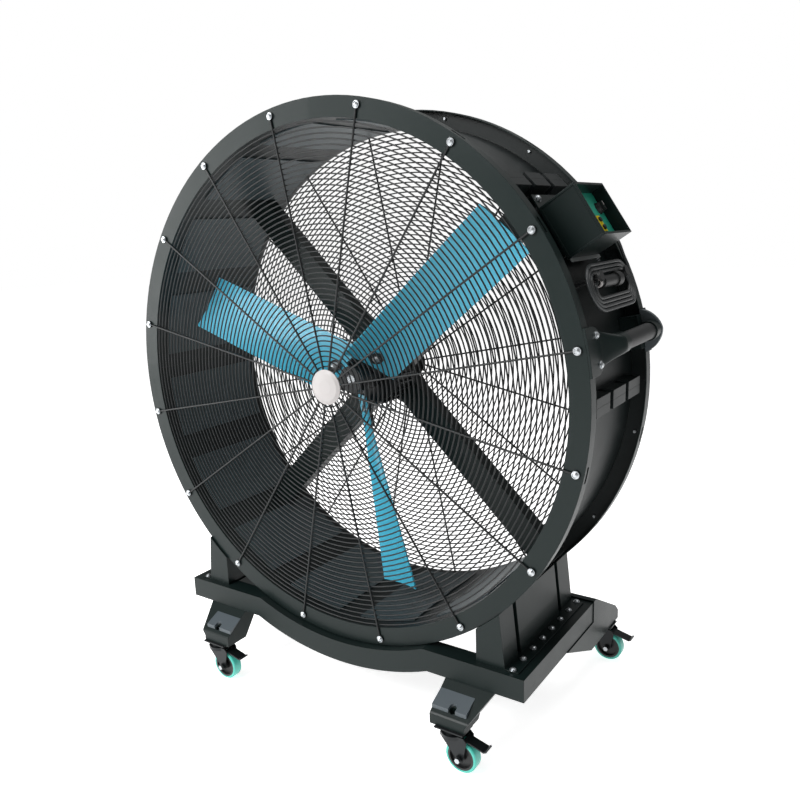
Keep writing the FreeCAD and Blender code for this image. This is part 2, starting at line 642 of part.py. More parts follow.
def control_box():
    """The control box: a hollow case, open to its bracket, whose outer side is a hooded tray."""
    half = BOX_WIDTH / 2
    low = AXIS_HEIGHT - half
    high = AXIS_HEIGHT + half
    case = block(BOX_BASE_R, BOX_TOP_R, BOX_FRONT_Y, BOX_REAR_Y, low, high)
    tray = block(TRAY_FLOOR_R, BOX_TOP_R, BOX_FRONT_Y + BOX_WALL, BOX_REAR_Y - BOX_WALL,
                 low + BOX_WALL, high - BOX_WALL)
    knob_y, knob_z = KNOB_AT
    inside = block(BOX_BASE_R, TRAY_FLOOR_R - BOX_FLOOR, BOX_FRONT_Y + BOX_WALL, BOX_REAR_Y - BOX_WALL,
                   low + BOX_WALL, high - BOX_WALL)
    shaft_end = TRAY_FLOOR_R - KNOB_SHAFT_LENGTH - SHAFT_CLEARANCE
    cuts = [tray, inside,
            radial_cylinder(KNOB_SHAFT_R + SHAFT_CLEARANCE, shaft_end, TRAY_FLOOR_R, knob_y, knob_z)]
    for name, across in BUTTON_PLACES:
        low_r = TRAY_FLOOR_R + PANEL_T - BUTTON_INSIDE - BUTTON_TRAVEL - SHAFT_CLEARANCE
        cuts.append(radial_cylinder(BUTTON_R + SHAFT_CLEARANCE, low_r, TRAY_FLOOR_R, BUTTON_Y, across))
    return turned(case.cut(cuts), BOX_ANGLE)


def control_panel():
    """The coloured panel on the tray's floor."""
    half = BOX_WIDTH / 2 - BOX_WALL - PANEL_FIT
    panel = block(TRAY_FLOOR_R, TRAY_FLOOR_R + PANEL_T, BOX_FRONT_Y + BOX_WALL + PANEL_FIT,
                  BOX_REAR_Y - BOX_WALL - PANEL_FIT, AXIS_HEIGHT - half, AXIS_HEIGHT + half)
    knob_y, knob_z = KNOB_AT
    top = TRAY_FLOOR_R + PANEL_T
    cuts = [radial_cylinder(KNOB_SHAFT_R + RUNNING_GAP, TRAY_FLOOR_R, top, knob_y, knob_z)]
    for name, across in BUTTON_PLACES:
        cuts.append(radial_cylinder(BUTTON_R + MOVING_GAP, TRAY_FLOOR_R, top, BUTTON_Y, across))
    return turned(panel.cut(cuts), BOX_ANGLE)


def speed_knob():
    """The turning knob on the panel, with a pointer ridge."""
    knob_y, knob_z = KNOB_AT
    base = TRAY_FLOOR_R + PANEL_T + MOVING_GAP
    shaft = radial_cylinder(KNOB_SHAFT_R, TRAY_FLOOR_R - KNOB_SHAFT_LENGTH, base, knob_y, knob_z)
    skirt = Part.makeCone(KNOB_R, KNOB_R * 0.8, KNOB_HEIGHT * 0.6, at_box(base, knob_y, knob_z), V(1, 0, 0))
    ridge = block(base, base + KNOB_HEIGHT, knob_y - KNOB_R / 4, knob_y + KNOB_R / 4,
                  AXIS_HEIGHT + knob_z - KNOB_R * 0.75, AXIS_HEIGHT + knob_z + KNOB_R * 0.75)
    return turned(skirt.fuse([shaft, ridge]).removeSplitter(), BOX_ANGLE)


def key_plate():
    """The bright plate on the panel round the two buttons."""
    low = min(across for name, across in BUTTON_PLACES) - BUTTON_R - KEY_PLATE_MARGIN
    high = max(across for name, across in BUTTON_PLACES) + BUTTON_R + KEY_PLATE_MARGIN
    half = BUTTON_R + KEY_PLATE_MARGIN
    base = TRAY_FLOOR_R + PANEL_T
    plate = block(base, base + KEY_PLATE_T, BUTTON_Y - half, BUTTON_Y + half,
                  AXIS_HEIGHT + low, AXIS_HEIGHT + high)
    holes = [radial_cylinder(BUTTON_R + MOVING_GAP, base, base + KEY_PLATE_T, BUTTON_Y, across)
             for name, across in BUTTON_PLACES]
    return turned(plate.cut(holes), BOX_ANGLE)


def push_button(across):
    """A round push button through the key plate and the panel."""
    top = TRAY_FLOOR_R + PANEL_T
    plunger = radial_cylinder(BUTTON_R, top - BUTTON_INSIDE, top + BUTTON_PROUD, BUTTON_Y, across)
    rim = [edge for edge in plunger.Edges if edge.CenterOfMass.x > top]
    rim = [edge for edge in rim if edge.BoundBox.XLength < BUTTON_PROUD / 2]
    return turned(plunger.makeFillet(BUTTON_PROUD / 4, rim), BOX_ANGLE)


def control_box_bracket():
    """The plate under the control box, standing on legs against the drum's wall."""
    half = BOX_WIDTH / 2
    plate = block(BOX_BASE_R - BRACKET_T, BOX_BASE_R, BOX_FRONT_Y, BOX_REAR_Y,
                  AXIS_HEIGHT - half, AXIS_HEIGHT + half + BRACKET_EAR)
    legs = []
    inset = BRACKET_LEG_INSET
    for y0 in (BOX_FRONT_Y + inset, BOX_REAR_Y - inset - BRACKET_LEG):
        for z0 in (-half + inset, half - BRACKET_LEG + BRACKET_EAR):
            legs.append(block(RING_INNER_R, BOX_BASE_R - BRACKET_T, y0, y0 + BRACKET_LEG,
                              AXIS_HEIGHT + z0, AXIS_HEIGHT + z0 + BRACKET_LEG))
    bracket = plate.fuse(legs).cut(axis_cylinder(WALL_OUTER_R + HOLE_CLEARANCE, FRONT_Y, REAR_Y))
    hole_end = BOX_BASE_R - BRACKET_T - BOLT_REACH
    holes = [radial_cylinder(BOLT_R + HOLE_CLEARANCE, hole_end, BOX_BASE_R, y, across)
             for y, across in bracket_bolt_places()]
    return turned(bracket.cut(holes), BOX_ANGLE)


def bracket_bolt_places():
    """Where the bracket's ear is bolted, as (y, distance along the rim) pairs."""
    across = BOX_WIDTH / 2 + BRACKET_EAR - BRACKET_LEG / 2
    middle = BRACKET_LEG_INSET + BRACKET_LEG / 2
    return [(BOX_FRONT_Y + middle, across), (BOX_REAR_Y - middle, across)]


def coil_point(along, across):
    """A point in the plane of the cord's coil, before the coil is turned into place."""
    return V(COIL_PLANE_R, along, AXIS_HEIGHT + across)


def half_turn(side, start, radius):
    """A half circle at one end of the coil, upwards for a positive radius."""
    end = start + 2 * radius
    middle = coil_point(side * (COIL_HALF_RUN + abs(radius)), start + radius)
    arc = Part.Arc(coil_point(side * COIL_HALF_RUN, start), middle, coil_point(side * COIL_HALF_RUN, end))
    return arc, end


def cord_route():
    """The cord from its gland, round the coil inwards, to its plug: the path and the plug's height."""
    right = COIL_HALF_RUN + COIL_FIRST_R
    bend = LEAD_BEND_R
    corner = math.sqrt(0.5)
    gland_y = BOX_REAR_Y + GLAND_LENGTH
    turn_y = right - bend
    pieces = [Part.LineSegment(coil_point(gland_y, LEAD_HEIGHT), coil_point(turn_y, LEAD_HEIGHT)),
              Part.Arc(coil_point(turn_y, LEAD_HEIGHT),
                       coil_point(turn_y + bend * corner, LEAD_HEIGHT - bend + bend * corner),
                       coil_point(right, LEAD_HEIGHT - bend)),
              Part.LineSegment(coil_point(right, LEAD_HEIGHT - bend), coil_point(right, 0)),
              Part.Arc(coil_point(right, 0),
                       coil_point(COIL_HALF_RUN + COIL_FIRST_R * corner, -COIL_FIRST_R * corner),
                       coil_point(COIL_HALF_RUN, -COIL_FIRST_R))]
    height = -COIL_FIRST_R
    radius = COIL_FIRST_R
    for k in range(COIL_TURNS):
        pieces.append(Part.LineSegment(coil_point(COIL_HALF_RUN, height), coil_point(-COIL_HALF_RUN, height)))
        radius -= COIL_PITCH / 2
        arc, height = half_turn(-1, height, radius)
        pieces.append(arc)
        pieces.append(Part.LineSegment(coil_point(-COIL_HALF_RUN, height), coil_point(COIL_HALF_RUN, height)))
        radius -= COIL_PITCH / 2
        arc, height = half_turn(1, height, -radius)
        pieces.append(arc)
    pieces.append(Part.LineSegment(coil_point(COIL_HALF_RUN, height), coil_point(-COIL_HALF_RUN, height)))
    arc, height = half_turn(-1, height, COIL_LAST_R)
    pieces.append(arc)
    pieces.append(Part.LineSegment(coil_point(-COIL_HALF_RUN, height), coil_point(plug_start(), height)))
    return Part.Wire([piece.toShape() for piece in pieces]), height


def plug_start():
    """Where the cord's straight end meets the plug."""
    return -COIL_HALF_RUN + CORD_D + 1


def coil_top_height():
    """The height of the innermost upper run of the coil, which hangs on the pegs."""
    height = -COIL_FIRST_R
    radius = COIL_FIRST_R
    top = 0.0
    for k in range(COIL_TURNS):
        radius -= COIL_PITCH / 2
        top = height + 2 * radius
        radius -= COIL_PITCH / 2
        height = top - 2 * radius
    return top


def print_cord_facts(path):
    """Print the cord's length and the least gap between its turns, measured on points."""
    spacing = CORD_R
    points = path.discretize(Distance=spacing)
    apart = int(6 * CORD_D / spacing)
    count = len(points)
    least = min((points[i] - points[j]).Length for i in range(count) for j in range(i + apart, count))
    print("cord length %.0f mm, least gap between turns %.2f mm" % (path.Length, least - CORD_D))


def power_cord():
    """The cord as one unbroken tube."""
    path, plug_height = cord_route()
    print_cord_facts(path)
    start = coil_point(BOX_REAR_Y + GLAND_LENGTH, LEAD_HEIGHT)
    profile = Part.Wire(Part.makeCircle(CORD_R, start, V(0, 1, 0)))
    tube = path.makePipeShell([profile], True, False)
    expected = math.pi * CORD_R ** 2 * path.Length
    print("tube volume over section times length: %.4f" % (tube.Volume / expected))
    return turned(tube, COIL_ANGLE)


def cord_gland():
    """The gland on the back of the control box, which the cord leaves."""
    root = coil_point(BOX_REAR_Y, LEAD_HEIGHT)
    section = [(0, 0), (GLAND_R, 0), (GLAND_R, GLAND_LENGTH / 2), (CORD_R + GLAND_LIP, GLAND_LENGTH),
               (0, GLAND_LENGTH)]
    return turned(turned_section(section, root, V(0, 1, 0), V(1, 0, 0)), COIL_ANGLE)


def mains_plug():
    """The round plug: a nut on the cord, a grip, a broad collar and three pins."""
    path, height = cord_route()
    root = coil_point(plug_start(), height)
    body_end = PLUG_NUT_LENGTH + PLUG_BODY_LENGTH
    collar = body_end - PLUG_COLLAR_LENGTH
    section = [(0, 0), (PLUG_NUT_R, 0), (PLUG_NUT_R, PLUG_NUT_LENGTH), (PLUG_WAIST_R, PLUG_NUT_LENGTH),
               (PLUG_WAIST_R, collar), (PLUG_R, collar), (PLUG_R, body_end), (0, body_end)]
    plug = turned_section(section, root, V(0, 1, 0), V(1, 0, 0))
    pins = []
    for k in range(3):
        angle = math.radians(90 + 120 * k)
        offset = V(PLUG_PIN_CIRCLE_R * math.cos(angle), body_end, PLUG_PIN_CIRCLE_R * math.sin(angle))
        pins.append(Part.makeCylinder(PLUG_PIN_R, PLUG_PIN_LENGTH, root + offset, V(0, 1, 0)))
    return turned(plug.fuse(pins), COIL_ANGLE)


def cord_pegs():
    """Two headed pegs on the drum's side, under the coil's innermost upper run."""
    across = coil_top_height() - CORD_R - SEAT_GAP - PEG_R
    head_r0 = COIL_PLANE_R + PLUG_NUT_R + PEG_HEAD_GAP
    pegs = []
    for y in (PEG_INSET - COIL_HALF_RUN, COIL_HALF_RUN - PEG_INSET):
        stem = radial_cylinder(PEG_R, RING_INNER_R, head_r0 + PEG_HEAD_T, y, across)
        head = radial_cylinder(PEG_HEAD_R, head_r0, head_r0 + PEG_HEAD_T, y, across)
        foot = radial_cylinder(PEG_FOOT_R, RING_INNER_R, WALL_OUTER_R + PEG_FOOT_T, y, across)
        peg = stem.fuse([head, foot]).removeSplitter()
        pegs.append(peg.cut(axis_cylinder(WALL_OUTER_R + HOLE_CLEARANCE, FRONT_Y, REAR_Y)))
    return turned(Part.makeCompound(pegs), COIL_ANGLE)


def handle_plate(rim_y, length, bolt_inset):
    """A bell-shaped end plate of the handle, on the rim, with a foot on the wall and a socket for the grip."""
    inwards = 1 if length > 0 else -1
    base_r = RING_OUTER_R + SEAT_GAP
    shoulder = rim_y + inwards * RIM_DEPTH
    neck = rim_y + length - inwards * HANDLE_SOCKET_LENGTH
    flare = (neck - shoulder) * 0.5
    low_r = base_r - HANDLE_PLATE_HALF / 4

    def side(sign):
        start = V(low_r, shoulder, AXIS_HEIGHT + sign * HANDLE_PLATE_HALF)
        end = V(low_r, neck, AXIS_HEIGHT + sign * HANDLE_GRIP_R)
        curve = Part.BezierCurve()
        curve.setPoles([start, start + V(0, flare, 0), end - V(0, flare, 0), end])
        return curve.toShape(), start, end

    upper, upper_start, upper_end = side(1)
    lower, lower_start, lower_end = side(-1)
    rim_high = V(low_r, rim_y, AXIS_HEIGHT + HANDLE_PLATE_HALF)
    rim_low = V(low_r, rim_y, AXIS_HEIGHT - HANDLE_PLATE_HALF)
    edges = [upper, Part.LineSegment(upper_end, lower_end).toShape(), lower,
             Part.LineSegment(lower_start, rim_low).toShape(), Part.LineSegment(rim_low, rim_high).toShape(),
             Part.LineSegment(rim_high, upper_start).toShape()]
    outline = Part.Wire(Part.sortEdges(edges)[0])
    shell = axis_cylinder(base_r + HANDLE_PLATE_T, FRONT_Y, REAR_Y)
    shell = shell.cut(axis_cylinder(base_r, FRONT_Y, REAR_Y))
    plate = Part.Face(outline).extrude(V(HANDLE_PLATE_HALF, 0, 0)).common(shell)
    socket_start = V(HANDLE_GRIP_PLANE_R, neck, AXIS_HEIGHT)
    socket = Part.makeCylinder(HANDLE_SOCKET_R, HANDLE_SOCKET_LENGTH, socket_start, V(0, inwards, 0))
    foot_y = shoulder + inwards * (HANDLE_FOOT / 2 + SHEET)
    half = HANDLE_FOOT / 2
    foot = block(RING_INNER_R, base_r + HANDLE_PLATE_T / 2, foot_y - half, foot_y + half,
                 AXIS_HEIGHT - HANDLE_FOOT_HALF_WIDTH, AXIS_HEIGHT + HANDLE_FOOT_HALF_WIDTH)
    foot = foot.common(axis_cylinder(base_r + HANDLE_PLATE_T / 2, FRONT_Y, REAR_Y))
    foot = foot.cut(axis_cylinder(WALL_OUTER_R + HOLE_CLEARANCE, FRONT_Y, REAR_Y))
    plate = plate.fuse([socket, foot]).removeSplitter()
    hole = radial_cylinder(BOLT_R + HOLE_CLEARANCE, base_r - SHEET, base_r + 2 * HANDLE_PLATE_T,
                           rim_y + inwards * bolt_inset, 0)
    holes = [turned(hole, angle) for angle in handle_bolt_angles()]
    return turned(plate.cut(holes), HANDLE_ANGLE)


def handle_bolt_angles():
    """How far round the rim each bolt of a handle plate lies from the handle's middle."""
    angle = math.degrees(HANDLE_BOLT_HALF / RING_OUTER_R)
    return [-angle, angle]


def handle_grip():
    """The tube between the two end plates."""
    start_y = FRONT_Y + HANDLE_FRONT_LENGTH
    length = REAR_Y - HANDLE_REAR_LENGTH - start_y
    start = V(HANDLE_GRIP_PLANE_R, start_y, AXIS_HEIGHT)
    tube = Part.makeCylinder(HANDLE_GRIP_R, length, start, V(0, 1, 0))
    bore = Part.makeCylinder(HANDLE_GRIP_R - HANDLE_GRIP_WALL, length, start, V(0, 1, 0))
    return turned(tube.cut(bore), HANDLE_ANGLE)


def bar_outline(inset):
    """The front bar seen from the front: straight ends, and a dip that follows the drum's rim."""
    half = BASE_HALF_WIDTH - inset
    top = BASE_TOP_Z - inset
    low = BASE_LOW_Z + inset
    top_r = RING_OUTER_R + SADDLE_GAP + inset
    low_r = RING_OUTER_R + SADDLE_GAP + BAR_HEIGHT - inset
    top_x = math.sqrt(top_r ** 2 - (AXIS_HEIGHT - top) ** 2)
    low_x = math.sqrt(low_r ** 2 - (AXIS_HEIGHT - low) ** 2)

    def point(x, z):
        return V(x, 0, z)

    edges = [Part.LineSegment(point(-half, low), point(-half, top)),
             Part.LineSegment(point(-half, top), point(-top_x, top)),
             Part.Arc(point(-top_x, top), point(0, AXIS_HEIGHT - top_r), point(top_x, top)),
             Part.LineSegment(point(top_x, top), point(half, top)),
             Part.LineSegment(point(half, top), point(half, low)),
             Part.LineSegment(point(half, low), point(low_x, low)),
             Part.Arc(point(low_x, low), point(0, AXIS_HEIGHT - low_r), point(-low_x, low)),
             Part.LineSegment(point(-low_x, low), point(-half, low))]
    return Part.Face(Part.Wire([edge.toShape() for edge in edges]))


def base_front_bar():
    """The dipped front bar, a folded channel open towards the back."""
    outer = bar_outline(0).extrude(V(0, BAR_DEPTH, 0))
    hollow = bar_outline(SHEET).extrude(V(0, BAR_DEPTH, 0))
    hollow.translate(V(0, SHEET, 0))
    bar = outer.cut(hollow)
    bar.translate(V(0, -BASE_HALF_DEPTH, 0))
    holes = base_bolt_holes()
    return bar.cut(holes + [mirrored(hole) for hole in holes])


def side_rail():
    """The right-hand side rail, a channel open downwards, between the two bars."""
    inner_x = BASE_HALF_WIDTH - RAIL_WIDTH
    y1 = BASE_HALF_DEPTH - BAR_DEPTH
    rail = block(inner_x, BASE_HALF_WIDTH, -y1, y1, BASE_LOW_Z, BASE_TOP_Z)
    rail = rail.cut(block(inner_x + SHEET, BASE_HALF_WIDTH - SHEET, -y1, y1, BASE_LOW_Z, BASE_TOP_Z - SHEET))
    return rail.cut(base_bolt_holes())


def base_bolt_places():
    """Where the right-hand pedestal is bolted down, as (x, y) pairs."""
    pitch = BASE_BOLT_SPAN / (BASE_BOLT_COUNT - 1)
    return [(BASE_BOLT_X, -BASE_BOLT_SPAN / 2 + k * pitch) for k in range(BASE_BOLT_COUNT)]


def base_bolt_holes():
    """Holes for the pedestal's bolts."""
    depth = BOLT_REACH + 2 * SHEET
    return [Part.makeCylinder(BOLT_R + HOLE_CLEARANCE, depth, V(x, y, BASE_TOP_Z - BOLT_REACH), V(0, 0, 1))
            for x, y in base_bolt_places()]


def pedestal():
    """The right-hand pedestal: a folded post, open below, with a foot flange and a saddle for the rims."""
    depth = PEDESTAL_HALF_DEPTH
    post = polygon_face([V(PEDESTAL_INNER_X, -depth, BASE_TOP_Z), V(PEDESTAL_FOOT_X, -depth, BASE_TOP_Z),
                         V(PEDESTAL_TOP_X, -depth, PEDESTAL_TOP_Z),
                         V(PEDESTAL_INNER_X, -depth, PEDESTAL_TOP_Z)])
    post = post.extrude(V(0, 2 * depth, 0))
    half = PEDESTAL_GROOVE / 2
    grooves = [block(PEDESTAL_TOP_X - PEDESTAL_GROOVE_DEPTH, PEDESTAL_FOOT_X, y - half, y + half,
                     BASE_TOP_Z + SHEET, PEDESTAL_TOP_Z) for y in (-PEDESTAL_GROOVE_Y, PEDESTAL_GROOVE_Y)]
    foot = block(PEDESTAL_INNER_X, PEDESTAL_FOOT_EDGE_X, -depth, depth, BASE_TOP_Z, BASE_TOP_Z + SHEET)
    saddle = axis_cylinder(RING_OUTER_R + SEAT_GAP, -BASE_HALF_DEPTH, BASE_HALF_DEPTH)
    skin = axis_cylinder(RING_OUTER_R + SEAT_GAP + SHEET, -BASE_HALF_DEPTH, BASE_HALF_DEPTH)
    rib_x = PEDESTAL_TOP_X - PEDESTAL_GROOVE_DEPTH - SHEET
    rib_half = half + SHEET
    ribs = [block(rib_x, PEDESTAL_FOOT_X, y - rib_half, y + rib_half, BASE_TOP_Z, PEDESTAL_TOP_Z)
            for y in (-PEDESTAL_GROOVE_Y, PEDESTAL_GROOVE_Y)]
    inner = depth - SHEET
    inner_x = PEDESTAL_INNER_X + SHEET
    inner_top = PEDESTAL_TOP_Z - SHEET
    inside = polygon_face([V(inner_x, -inner, BASE_TOP_Z), V(PEDESTAL_FOOT_X - SHEET, -inner, BASE_TOP_Z),
                           V(PEDESTAL_TOP_X - SHEET, -inner, inner_top), V(inner_x, -inner, inner_top)])
    inside = inside.extrude(V(0, 2 * inner, 0)).cut(ribs + [skin])
    return post.cut(grooves).fuse(foot).removeSplitter().cut([saddle, inside] + base_bolt_holes())


def frame_bolts():
    """The bolts of the pedestals, the handle and the control box's bracket."""
    size = (BOLT_HEAD_R, BOLT_HEAD_HEIGHT, WASHER_R, WASHER_HEIGHT, BOLT_R)
    up = V(0, 0, 1)
    out = V(1, 0, 0)
    pieces = []
    for x, y in base_bolt_places():
        piece = bolt(V(x, y, BASE_TOP_Z + SHEET), up, *size, 2 * SHEET)
        pieces.append(piece)
        pieces.append(mirrored(piece))
    top_r = RING_OUTER_R + SEAT_GAP + HANDLE_PLATE_T
    for y in (FRONT_Y + HANDLE_FRONT_BOLT_INSET, REAR_Y - HANDLE_REAR_BOLT_INSET):
        piece = bolt(at_box(top_r, y, 0), out, *size, HANDLE_PLATE_T)
        for angle in handle_bolt_angles():
            pieces.append(turned(piece, HANDLE_ANGLE + angle))
    for y, across in bracket_bolt_places():
        pieces.append(turned(bolt(at_box(BOX_BASE_R, y, across), out, *size, BRACKET_T), BOX_ANGLE))
    return Part.makeCompound(pieces)


def front_boot(hand):
    """A front boot, which carries a caster ahead of the bar; hand is 1 on the right, -1 on the left."""
    nose_y = FRONT_CASTER[1] - FRONT_BOOT_NOSE
    back_y = -BASE_HALF_DEPTH + BAR_DEPTH
    lip_z = BOOT_BOTTOM_Z + BOOT_LIP
    heel_y = FRONT_CASTER[1] + FRONT_BOOT_HEEL
    profile = [(-BASE_HALF_DEPTH, BASE_LOW_Z), (nose_y + SHEET, lip_z + SHEET), (nose_y, lip_z),
               (nose_y, BOOT_BOTTOM_Z), (heel_y, BOOT_BOTTOM_Z), (back_y, BASE_LOW_Z)]
    side = polygon_face([V(0, y, z) for y, z in profile])
    side = side.extrude(V(hand * BASE_HALF_WIDTH, 0, 0))
    bend_z = (lip_z + BOOT_BOTTOM_Z) / 2
    outline = [(FRONT_BOOT_INNER_X, BASE_LOW_Z), (FRONT_BOOT_OUTER_X, BASE_LOW_Z),
               (FRONT_BOOT_FOOT_X, bend_z), (FRONT_BOOT_FOOT_X, BOOT_BOTTOM_Z),
               (FRONT_BOOT_INNER_X, BOOT_BOTTOM_Z)]
    front = polygon_face([V(hand * x, 0, z) for x, z in outline]).extrude(V(0, -BASE_HALF_WIDTH, 0))
    notch = Part.makeCylinder(BOOT_NOTCH_R, BAR_HEIGHT, V(hand * FRONT_CASTER[0], FRONT_CASTER[1], lip_z))
    return side.common(front).cut(notch)


def rear_boot():
    """The right-hand rear boot, a tray open inwards: it runs out behind the rear bar, flush with the rail."""
    nose_y = REAR_CASTER[1] + REAR_BOOT_NOSE
    lip_z = BOOT_BOTTOM_Z + BOOT_LIP
    shoulder_y = BASE_HALF_DEPTH + REAR_BOOT_SHOULDER
    outline = [(REAR_BOOT_START_Y, BASE_LOW_Z), (BASE_HALF_DEPTH, BASE_LOW_Z),
               (BASE_HALF_DEPTH, REAR_BOOT_TOP_Z), (shoulder_y, REAR_BOOT_TOP_Z),
               (nose_y - REAR_BOOT_BROW, lip_z + REAR_BOOT_BROW), (nose_y, lip_z),
               (nose_y, BOOT_BOTTOM_Z), (REAR_BOOT_HEEL_Y, BOOT_BOTTOM_Z)]
    side = polygon_face([V(REAR_BOOT_INNER_X, y, z) for y, z in outline])
    width = REAR_BOOT_OUTER_X - REAR_BOOT_INNER_X
    hollow = side.makeOffset2D(-SHEET, 2).extrude(V(width - SHEET, 0, 0))
    return side.extrude(V(width, 0, 0)).cut(hollow)


def caster_top():
    """A caster's fixed part: top plate, race and kingpin, about the swivel axis."""
    plate = block(-CASTER_PLATE_X / 2, CASTER_PLATE_X / 2, -CASTER_PLATE_Y / 2, CASTER_PLATE_Y / 2,
                  BOOT_BOTTOM_Z - CASTER_PLATE_T, BOOT_BOTTOM_Z)
    plate_low = BOOT_BOTTOM_Z - CASTER_PLATE_T
    race_low = plate_low - RACE_HEIGHT
    head_top = race_low - CROWN_HEIGHT - 2 * SEAT_GAP
    race = Part.makeCylinder(RACE_R, RACE_HEIGHT, V(0, 0, race_low))
    pin = Part.makeCylinder(KINGPIN_R, race_low - head_top, V(0, 0, head_top))
    head = Part.makeCylinder(KINGPIN_HEAD_R, KINGPIN_HEAD_HEIGHT, V(0, 0, head_top - KINGPIN_HEAD_HEIGHT))
    return plate.fuse([race, pin, head]).removeSplitter()


def caster_fork():
    """A caster's swivelling fork and its axle bolt, as two solids."""
    crown_top = BOOT_BOTTOM_Z - CASTER_PLATE_T - RACE_HEIGHT - SEAT_GAP
    crown_low = crown_top - CROWN_HEIGHT
    crown = Part.makeCylinder(CROWN_R, CROWN_HEIGHT, V(0, 0, crown_low))
    crown = crown.cut(Part.makeCylinder(KINGPIN_R + RUNNING_GAP, CROWN_HEIGHT, V(0, 0, crown_low)))
    pivot_x, pivot_z = PEDAL_PIVOT
    ear = 3 * PEDAL_PIN_R
    boss = 2 * AXLE_R
    outline = [(-CROWN_R * 0.8, crown_low), (-CROWN_R * 0.8, crown_top), (pivot_x, crown_top),
               (pivot_x + ear, pivot_z + PEDAL_PIN_R), (pivot_x + ear, pivot_z - ear),
               (CASTER_TRAIL + boss, WHEEL_R), (CASTER_TRAIL + boss / 2, WHEEL_R - boss),
               (CASTER_TRAIL - boss / 2, WHEEL_R - boss), (CASTER_TRAIL - boss, WHEEL_R)]
    half = FORK_GAP / 2
    leg = polygon_face([V(x, half, z) for x, z in outline]).extrude(V(0, FORK_SHEET, 0))
    fork = crown.fuse([leg, leg.mirror(V(0, 0, 0), V(0, 1, 0))]).removeSplitter()
    reach = half + 2 * FORK_SHEET
    along = V(0, 1, 0)
    axle_hole = Part.makeCylinder(AXLE_R + RUNNING_GAP, 2 * reach, V(CASTER_TRAIL, -reach, WHEEL_R), along)
    pin_hole = Part.makeCylinder(PEDAL_PIN_R + RUNNING_GAP, 2 * reach, V(pivot_x, -reach, pivot_z), along)
    outside = half + FORK_SHEET
    head = outside + AXLE_HEAD_HEIGHT
    section = [(0, -head), (AXLE_HEAD_R, -head), (AXLE_HEAD_R, -outside), (AXLE_R, -outside),
               (AXLE_R, outside), (AXLE_HEAD_R, outside), (AXLE_HEAD_R, head), (0, head)]
    axle = turned_section(section, V(CASTER_TRAIL, 0, WHEEL_R), V(0, 1, 0), V(0, 0, 1))
    return Part.makeCompound([fork.cut([axle_hole, pin_hole]), axle])


def wheel_core():
    """The wheel's hub, web and rim about its axle."""
    rim_r = WHEEL_R - TREAD_T
    hub = WHEEL_HUB_WIDTH / 2
    web = WHEEL_WEB / 2
    half = WHEEL_WIDTH / 2
    bore = AXLE_R + RUNNING_GAP
    side = [(bore, hub), (WHEEL_HUB_R, hub), (WHEEL_HUB_R, web), (rim_r - WHEEL_RIM, web),
            (rim_r - WHEEL_RIM, half), (rim_r, half)]
    section = side + [(radius, -along) for radius, along in reversed(side)]
    return turned_section(section, V(CASTER_TRAIL, 0, WHEEL_R), V(0, 1, 0), V(0, 0, 1))


def wheel_tread():
    """The coloured tyre round the rim, with eased shoulders."""
    rim_r = WHEEL_R - TREAD_T
    half = WHEEL_WIDTH / 2
    shoulder = half - TREAD_CROWN
    section = [(rim_r, -half), (WHEEL_R - TREAD_CROWN, -half), (WHEEL_R, -shoulder), (WHEEL_R, shoulder),
               (WHEEL_R - TREAD_CROWN, half), (rim_r, half)]
    return turned_section(section, V(CASTER_TRAIL, 0, WHEEL_R), V(0, 1, 0), V(0, 0, 1))


def brake_pedal():
    """The brake pedal with its pin, up in the free position."""
    pivot_x, pivot_z = PEDAL_PIVOT
    tip_x = pivot_x + PEDAL_REACH
    tip_z = pivot_z - PEDAL_DROP
    half = PEDAL_T / 2
    outline = [(pivot_x - half, pivot_z + half), (pivot_x + PEDAL_KICK, pivot_z + half),
               (tip_x - PEDAL_KICK, tip_z + half), (tip_x, tip_z + PEDAL_KICK), (tip_x + half, tip_z + half),
               (tip_x - PEDAL_KICK, tip_z - half), (pivot_x + PEDAL_KICK, pivot_z - half),
               (pivot_x - half, pivot_z - half)]
    width = PEDAL_HALF_WIDTH
    plate = polygon_face([V(x, -width, z) for x, z in outline]).extrude(V(0, 2 * width, 0))
    reach = FORK_GAP / 2 + FORK_SHEET
    pin = Part.makeCylinder(PEDAL_PIN_R, 2 * reach, V(pivot_x, -reach, pivot_z), V(0, 1, 0))
    return plate.fuse(pin).removeSplitter()


def caster_places():
    """The swivel axis of each caster."""
    front_x, front_y = FRONT_CASTER
    rear_x, rear_y = REAR_CASTER
    return {"front_left": (-front_x, front_y), "front_right": (front_x, front_y),
            "rear_left": (-rear_x, rear_y), "rear_right": (rear_x, rear_y)}


def moved(shape, place):
    """A copy of a caster's piece at one of the swivel axes."""
    copy = shape.copy()
    copy.translate(V(place[0], place[1], 0))
    return copy


